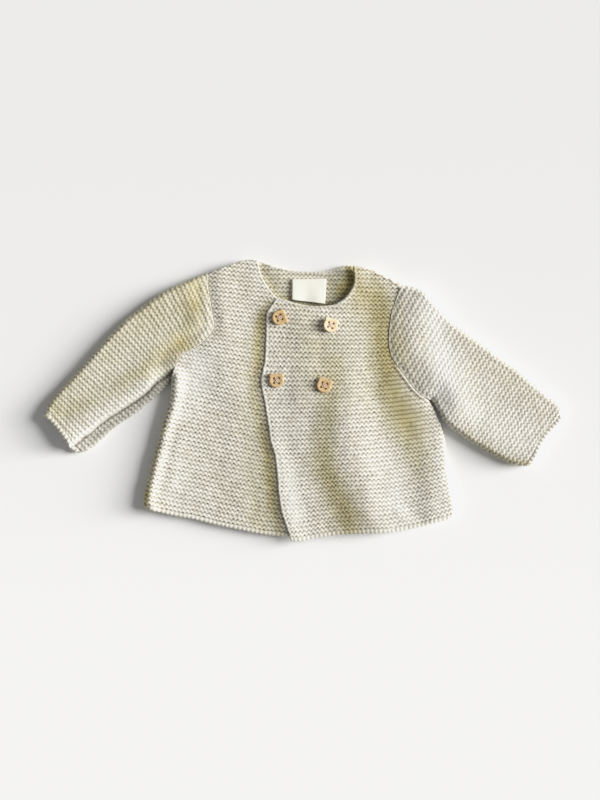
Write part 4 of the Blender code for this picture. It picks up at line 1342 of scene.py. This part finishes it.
# ------------------------------------------------------------------ label
def label_material():
    mat, nt, bsdf = node_material("ivory_tape")
    n = Nodes(nt)
    pos = n.new("ShaderNodeTexCoord").outputs["Object"]
    sep = n.new("ShaderNodeSeparateXYZ")
    nt.links.new(pos, sep.inputs[0])
    warp = n.math("SINE", n.math("MULTIPLY", sep.outputs[0], 2 * pi * 2600))
    weft = n.math("SINE", n.math("MULTIPLY", sep.outputs[1], 2 * pi * 1900))
    weave = n.math("MULTIPLY", warp, weft)
    blotch = n.noise(pos, 420.0, 3.0, 0.6)
    col = n.mix((0.97, 0.955, 0.80, 1), (0.99, 0.98, 0.87, 1), n.ramp(blotch, 0.3, 0.7))
    col = n.mix(col, (0.80, 0.77, 0.63, 1), n.ramp(weave, 0.2, 1.0, 0.0, 0.10))
    nt.links.new(col, bsdf.inputs["Base Color"])
    bsdf.inputs["Roughness"].default_value = 0.55
    bsdf.inputs["Sheen Weight"].default_value = 0.3
    bump = n.new("ShaderNodeBump")
    bump.inputs["Strength"].default_value = 0.5
    bump.inputs["Distance"].default_value = 0.00006
    nt.links.new(weave, bump.inputs["Height"])
    nt.links.new(bump.outputs[0], bsdf.inputs["Normal"])
    return mat


def make_label():
    """A folded tape: front layer down from the seam, round the fold and back up behind."""
    tl, tr, br, bl = px([(292.0, 279.0), (326.3, 279.0), (325.0, 303.6), (292.0, 299.6)])
    thick = 0.36
    path = []
    n = 26
    for k in range(n):
        v = k / (n - 1)
        path.append((v * 0.985, 5.05 + 1.15 * smoothstep(np.array(v * 1.05 - 0.1)) + 0.14 * sin(5.0 * v)))
    z_end = path[-1][1]
    for k in range(1, 7):
        a = pi * k / 7
        path.append((0.985 + 0.012 * sin(a), z_end - 0.24 * (1 - cos(a))))
    for k in range(n):
        v = 0.985 * (1 - k / (n - 1))
        path.append((v, 4.25 + 1.40 * smoothstep(np.array(v * 1.05 - 0.1)) - 0.02))
    path = np.array(path, float)
    high = 22.0
    tan = np.gradient(path * np.array([high, 1.0]), axis=0)
    tan /= np.linalg.norm(tan, axis=1)[:, None]
    off = np.column_stack((-tan[:, 1], tan[:, 0])) * 0.5 * thick
    sides = []
    for sign in (1, -1):
        q = path * np.array([high, 1.0]) + sign * off
        sides.append(q / np.array([high, 1.0]))
    ring = np.vstack((sides[0], sides[1][::-1]))
    m = 34
    b = Builder()
    b.painted_tone_name = "none"
    rows = []
    for j in range(m):
        u = j / (m - 1)
        top, low = tl + (tr - tl) * u, bl + (br - bl) * u
        edge = 0.10 * (abs(2 * u - 1) ** 6)
        v = ring[:, 0][:, None]
        xy = top + (low - top) * v
        wave = 0.28 * sin(3.1 * u * pi + 0.6) * ring[:, 0] ** 2 + 0.20 * cos(2.2 * u * pi) * ring[:, 0]
        z = ring[:, 1] + wave - edge + 0.35 * (u - 0.5) * ring[:, 0]
        rows.append(b.add(np.column_stack((xy, z))))
    c = len(ring)
    for j in range(m - 1):
        a0, a1 = rows[j], rows[j + 1]
        b.faces(np.column_stack((a0, a1, np.roll(a1, -1), np.roll(a0, -1))))
    half = len(path)
    for row in (rows[0], rows[-1]):
        o, i = row[:half], row[half:][::-1]
        b.faces(np.column_stack((o[:-1], o[1:], i[1:], i[:-1])))
    return b.build("label_tape", label_mat)


label_mat = label_material()
label = make_label()

# ------------------------------------------------------------------ buttons
HEAD = (7.0, 6.7)
EAR = (4.75, 4.85, 2.2)
BUTTONS = [
    # node                 turn   lean_x lean_y  pale  pulled by its thread, mm
    ("button_upper_edge", -68.0, 0.0, 2.0, 0.0, (-1.2, -1.2)),
    ("button_upper_inner", -16.0, 2.0, 13.0, 0.62, (-0.4, -1.5)),
    ("button_lower_edge", 0.0, 2.0, 0.0, 0.15, (0.0, -0.5)),
    ("button_lower_inner", -18.0, 2.0, 3.0, 0.05, (-0.4, -1.3)),
]


def wood_material(name, pale):
    mat, nt, bsdf = node_material(name)
    n = Nodes(nt)
    pos = n.new("ShaderNodeTexCoord").outputs["Object"]
    grain_pos = n.new("ShaderNodeMapping")
    nt.links.new(pos, grain_pos.inputs["Vector"])
    grain_pos.inputs["Scale"].default_value = (1.0, 9.0, 9.0)
    grain_pos.inputs["Rotation"].default_value = (0.0, 0.0, 0.5 + pale)
    grain = n.noise(grain_pos.outputs[0], 130.0, 4.0, 0.6)
    pore = n.noise(grain_pos.outputs[0], 520.0, 2.0, 0.5)
    cloud = n.noise(pos, 160.0, 2.0, 0.5)
    a = np.array((0.52, 0.315, 0.135)) * (1 - pale) + np.array((0.80, 0.58, 0.34)) * pale
    c = np.array((0.71, 0.475, 0.245)) * (1 - pale) + np.array((0.93, 0.76, 0.54)) * pale
    col = n.mix(tuple(a) + (1,), tuple(c) + (1,), n.ramp(grain, 0.36, 0.66))
    col = n.mix(col, tuple(a * 0.55) + (1,), n.ramp(pore, 0.62, 0.80, 0.0, 0.5))
    col = n.mix(col, tuple(c) + (1,), n.ramp(cloud, 0.5, 0.8, 0.0, 0.35))
    # Painted shade in the four holes, and a darker rim painted round the outline.
    att = n.new("ShaderNodeAttribute", attribute_name="dark_rim_and_hole_shade").outputs["Fac"]
    col = n.mix(col, tuple(a * 0.42) + (1,), att)
    nt.links.new(col, bsdf.inputs["Base Color"])
    bsdf.inputs["Roughness"].default_value = 0.42
    bsdf.inputs["Coat Weight"].default_value = 0.15
    bsdf.inputs["Coat Roughness"].default_value = 0.35
    bump = n.new("ShaderNodeBump")
    bump.inputs["Strength"].default_value = 0.25
    bump.inputs["Distance"].default_value = 0.00006
    nt.links.new(grain, bump.inputs["Height"])
    nt.links.new(bump.outputs[0], bsdf.inputs["Normal"])
    return mat


def head_radius(a):
    """Distance from the middle to the outline of the head with its two ears."""
    c, q = np.cos(a), np.sin(a)
    best = 1 / np.sqrt((c / HEAD[0]) ** 2 + (q / HEAD[1]) ** 2)
    for side in (-1, 1):
        ex, ey, er = side * EAR[0], EAR[1], EAR[2]
        along = ex * c + ey * q
        rest = er ** 2 - (ex ** 2 + ey ** 2 - along ** 2)
        hit = along + np.sqrt(np.maximum(rest, 0))
        best = np.where((rest > 0) & (hit > best), hit, best)
    for _ in range(2):      # the notch beside each ear is worn round
        best = 0.5 * best + 0.25 * (np.roll(best, 1) + np.roll(best, -1))
    return best


def make_button(node, turn, lean_x, lean_y, pale, pull):
    count = 120
    ang = np.linspace(0, 2 * pi, count, endpoint=False)
    rad = head_radius(ang)
    dish = np.full(count, 4.1)
    half = 1.05
    bm = bmesh.new()
    rows = []
    # (share of the outline, share of the round dish, height)
    for share, round_, z in ((0.0, 0.70, -half), (0.86, 0, -half), (0.955, 0, -half + 0.10), (0.99, 0, -half + 0.42),
                             (1.0, 0, -0.25), (1.0, 0, 0.35), (0.985, 0, half - 0.38), (0.95, 0, half - 0.10),
                             (0.89, 0, half), (0.80, 0, half + 0.02), (0.0, 1.20, half - 0.01), (0.0, 1.08, half - 0.08),
                             (0.0, 0.95, half - 0.22), (0.0, 0.80, half - 0.29), (0.0, 0.5, half - 0.30)):
        radius = rad * share if share else dish * round_
        rows.append([bm.verts.new((0.001 * radius[k] * cos(ang[k]), 0.001 * radius[k] * sin(ang[k]), 0.001 * z))
                     for k in range(count)])
    for a, b in zip(rows[:-1], rows[1:]):
        for k in range(count):
            bm.faces.new((a[k], a[(k + 1) % count], b[(k + 1) % count], b[k]))
    bm.faces.new(rows[0][::-1])
    bm.faces.new(rows[-1])
    bmesh.ops.recalc_face_normals(bm, faces=bm.faces)
    mesh = bpy.data.meshes.new(node + "_wood")
    bm.to_mesh(mesh)
    bm.free()
    wood = bpy.data.objects.new(node + "_wood", mesh)
    bpy.context.scene.collection.objects.link(wood)
    cut = bmesh.new()
    for hx in (-2.2, 2.2):
        for hy in (-2.2, 2.2):
            at = Matrix.Translation((hx * 0.001, hy * 0.001, 0))
            bmesh.ops.create_cone(cut, cap_ends=True, segments=20, radius1=0.00105, radius2=0.00105, depth=0.006, matrix=at)
    cut_mesh = bpy.data.meshes.new("holes")
    cut.to_mesh(cut_mesh)
    cut.free()
    holes = bpy.data.objects.new("holes", cut_mesh)
    bpy.context.scene.collection.objects.link(holes)
    mod = wood.modifiers.new("holes", "BOOLEAN")
    mod.operation = "DIFFERENCE"
    mod.solver = "EXACT"
    mod.object = holes
    bpy.context.view_layer.update()
    done = bpy.data.meshes.new_from_object(wood.evaluated_get(bpy.context.evaluated_depsgraph_get()))
    wood.modifiers.clear()
    wood.data = done
    bpy.data.objects.remove(holes)
    co = np.zeros(len(done.vertices) * 3)
    done.vertices.foreach_get("co", co)
    co = co.reshape(-1, 3) * 1000
    flat = np.hypot(co[:, 0], co[:, 1])
    own = np.interp(np.arctan2(co[:, 1], co[:, 0]) % (2 * pi), ang, rad)
    # A darker rim painted round the outline, and painted shade in the four holes.
    dark_rim_and_hole_shade = 0.55 * smoothstep((flat / own - 0.93) / 0.06)
    for hx in (-2.2, 2.2):
        for hy in (-2.2, 2.2):
            dark_rim_and_hole_shade = np.maximum(dark_rim_and_hole_shade, 0.9 * (1 - smoothstep((np.hypot(co[:, 0] - hx, co[:, 1] - hy) - 1.05) / 0.35)))
    att = done.attributes.new("dark_rim_and_hole_shade", "FLOAT", "POINT")
    att.data.foreach_set("value", dark_rim_and_hole_shade.astype(np.float32))
    done.materials.clear()
    done.materials.append(wood_material(node + "_wood", pale))
    done.shade_smooth()
    done.set_sharp_from_angle(angle=radians(38))
    lo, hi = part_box(node)
    centre = (Vector(lo) + Vector(hi)) / 2 + Vector((pull[0] / 1000, pull[1] / 1000, 0))
    # It lies on the left front.
    tip = abs(sin(radians(lean_y))) * 5.2
    centre.z = 0.001 * (float(high_left(np.array([[centre.x * 1000, centre.y * 1000]]))[0]) + half + 0.05 + tip)
    place = Matrix.Translation(centre) @ Euler((radians(lean_x), radians(lean_y), 0)).to_matrix().to_4x4() @ Matrix.Rotation(radians(turn), 4, "Z")
    wood.matrix_world = place

    # Sewing thread: two crossing bundles over the dish and down through the holes.
    tb = Builder()
    tb.painted_tone_name = "none"

    def tube(points, radius, sides=8):
        c = smooth_curve3(points, 0.22)
        tan = np.gradient(c, axis=0)
        tan /= np.linalg.norm(tan, axis=1)[:, None]
        ref = np.array([0.31, 0.17, 0.93])
        rows = []
        for p, d in zip(c, tan):
            u = np.cross(d, ref)
            u /= np.linalg.norm(u)
            w = np.cross(d, u)
            a = np.linspace(0, 2 * pi, sides, endpoint=False)
            rows.append(tb.add(p + radius * (np.cos(a)[:, None] * u + np.sin(a)[:, None] * w)))
        for a, b in zip(rows[:-1], rows[1:]):
            tb.faces(np.column_stack((a, np.roll(a, -1), np.roll(b, -1), b)))
        tb.f.append([int(v) for v in rows[0][::-1]])
        tb.f.append([int(v) for v in rows[-1]])

    h, zt = 1.72, half - 0.30
    for turn_at, lift in ((0, 0.0), (1, 0.26)):
        for shift in (-0.15, 0.15):
            a = np.array([-h, -h if turn_at == 0 else h])
            b = -a
            side = np.array([-(b - a)[1], (b - a)[0]]) / np.linalg.norm(b - a) * shift
            a, b = a * 1.02 + side, b * 1.02 + side
            pts = [(a[0], a[1], -half - 2.0), (a[0], a[1], zt - 0.9), (a[0] * 0.93, a[1] * 0.93, zt + 0.12),
                   (a[0] * 0.5, a[1] * 0.5, zt + 0.24 + lift), (b[0] * 0.5, b[1] * 0.5, zt + 0.24 + lift),
                   (b[0] * 0.93, b[1] * 0.93, zt + 0.12), (b[0], b[1], zt - 0.9), (b[0], b[1], -half - 2.0)]
            tube(pts, 0.16)
    thread = tb.build(node + "_thread", thread_mat)
    thread.matrix_world = place
    for piece in (wood, thread):
        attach(piece, "root")
    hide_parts(node)
    return wood


def smooth_curve3(points, step):
    p = np.asarray(points, float)
    ext = np.vstack((2 * p[0] - p[1], p, 2 * p[-1] - p[-2]))
    out = []
    t = np.linspace(0, 1, 17)[:-1, None]
    for k in range(len(p) - 1):
        p0, p1, p2, p3 = ext[k], ext[k + 1], ext[k + 2], ext[k + 3]
        out.append(0.5 * (2 * p1 + (p2 - p0) * t + (2 * p0 - 5 * p1 + 4 * p2 - p3) * t ** 2
                          + (3 * p1 - p0 - 3 * p2 + p3) * t ** 3))
    out.append(p[-1:])
    dense = np.vstack(out)
    run = np.concatenate(([0.0], np.cumsum(np.linalg.norm(np.diff(dense, axis=0), axis=1))))
    n = max(int(round(run[-1] / step)), 2)
    at = np.linspace(0, run[-1], n + 1)
    return np.column_stack([np.interp(at, run, dense[:, k]) for k in range(3)])


def thread_material():
    mat, nt, bsdf = node_material("cream_thread")
    n = Nodes(nt)
    pos = n.new("ShaderNodeTexCoord").outputs["Object"]
    fibre = n.noise(pos, 3000.0, 2.0, 0.6)
    col = n.mix((0.74, 0.54, 0.42, 1), (0.92, 0.76, 0.64, 1), n.ramp(fibre, 0.3, 0.7))
    nt.links.new(col, bsdf.inputs["Base Color"])
    bsdf.inputs["Roughness"].default_value = 0.7
    bsdf.inputs["Sheen Weight"].default_value = 0.3
    return mat


thread_mat = thread_material()
for row in BUTTONS:
    make_button(*row)

for piece, node in ((back, "back"), (label, "neck_label")):
    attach(piece, "root")
    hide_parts(node)

for piece, node in ((right_front, "right_front"), (left_front, "left_front"),
                    (right_sleeve, "right_sleeve"), (left_sleeve, "left_sleeve")):
    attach(piece, "root")
    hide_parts(node)

# ------------------------------------------------------------------ cuts
def cut(sheet, outline_px, layers):
    """Flat size (across the stitches, along the ridges) and area of a knitted piece, in metres."""
    pts = np.vstack([px(p) for p in outline_px])
    x, y = pts[:, 0], pts[:, 1]
    area = abs(0.5 * np.sum(x * np.roll(y, -1) - np.roll(x, -1) * y)) * layers * 1e-6
    wide = (sheet.s.max() - sheet.s.min()) * STITCH * 0.001 * layers
    long = (sheet.r.max() - sheet.r.min()) * RIDGE * 0.001
    print("cut", round(wide, 4), round(long, 4), round(area, 5))
    return (float(wide), float(long)), float(min(area, wide * long))


for piece, sheet, edges_px, order, layers, under in (
        (back, back_sheet, BACK, ["hem", "side_l", "armhole_l", "top", "armhole_r", "side_r"], 1, ["floor"]),
        (right_front, rf_sheet, RF, ["hem", "hidden", "neck", "shoulder", "armhole", "side"], 1, ["back_knit"]),
        (left_front, lf_sheet, LF, ["edge", "hem", "side", "armhole", "shoulder", "neck"], 1,
         ["right_front_knit", "back_knit"]),
        (right_sleeve, rs_sheet, rs_edges, ["upper", "armhole", "lower", "cuff"], 2, ["floor"]),
        (left_sleeve, ls_sheet, ls_edges, ["upper", "cuff", "lower", "armhole"], 2, ["floor"])):
    flat, area = cut(sheet, [edges_px[n] for n in order], layers)

# ------------------------------------------------------------------ stage
floor_mesh = bpy.data.meshes.new("floor")
floor_mesh.from_pydata([(-4, -4, -0.0002), (4, -4, -0.0002), (4, 4, -0.0002), (-4, 4, -0.0002)], [], [(0, 1, 2, 3)])
floor = bpy.data.objects.new("floor", floor_mesh)
bpy.context.scene.collection.objects.link(floor)
floor_mat, floor_nt, floor_bsdf = node_material("floor_paper")
fn = Nodes(floor_nt)
floor_y = fn.new("ShaderNodeSeparateXYZ")
floor_nt.links.new(fn.new("ShaderNodeTexCoord").outputs["Object"], floor_y.inputs[0])
# Painted light: the floor's colour is lighter towards -y and greyer towards +y.
floor_nt.links.new(fn.mix((0.985, 0.985, 0.985, 1), (0.86, 0.86, 0.863, 1), fn.ramp(floor_y.outputs[1], -0.35, 0.30)),
                   floor_bsdf.inputs["Base Color"])
floor_bsdf.inputs["Roughness"].default_value = 0.9
floor_mesh.materials.append(floor_mat)


for lamp, aim, power, spread, color in (("window_high", (0.896, 0.134, 0.4226), 4.5, 34, (1.0, 0.99, 0.965)),
                                        ("window_low", (0.973, 0.135, 0.187), 2.9, 20, (1.0, 0.985, 0.955))):
    sun_data = bpy.data.lights.new(lamp, "SUN")
    sun_data.energy = power
    sun_data.angle = radians(spread)
    sun_data.color = color
    sun = bpy.data.objects.new(lamp, sun_data)
    sun.rotation_euler = (-Vector(aim)).to_track_quat("-Z", "Y").to_euler()
    bpy.context.scene.collection.objects.link(sun)
world = bpy.data.worlds.new("world")
world.use_nodes = True
world.node_tree.nodes["Background"].inputs[0].default_value = (1.0, 1.0, 1.0, 1)
world.node_tree.nodes["Background"].inputs[1].default_value = 0.185
bpy.context.scene.world = world
bpy.context.scene.view_settings.view_transform = "Standard"
# Highlights ease off below white, as on the print.
bpy.context.scene.view_settings.use_curve_mapping = True
curve = bpy.context.scene.view_settings.curve_mapping
curve.curves[3].points.new(0.86, 0.86)
curve.curves[3].points[-1].location = (1.0, 0.93)
curve.extend = "HORIZONTAL"
curve.update()
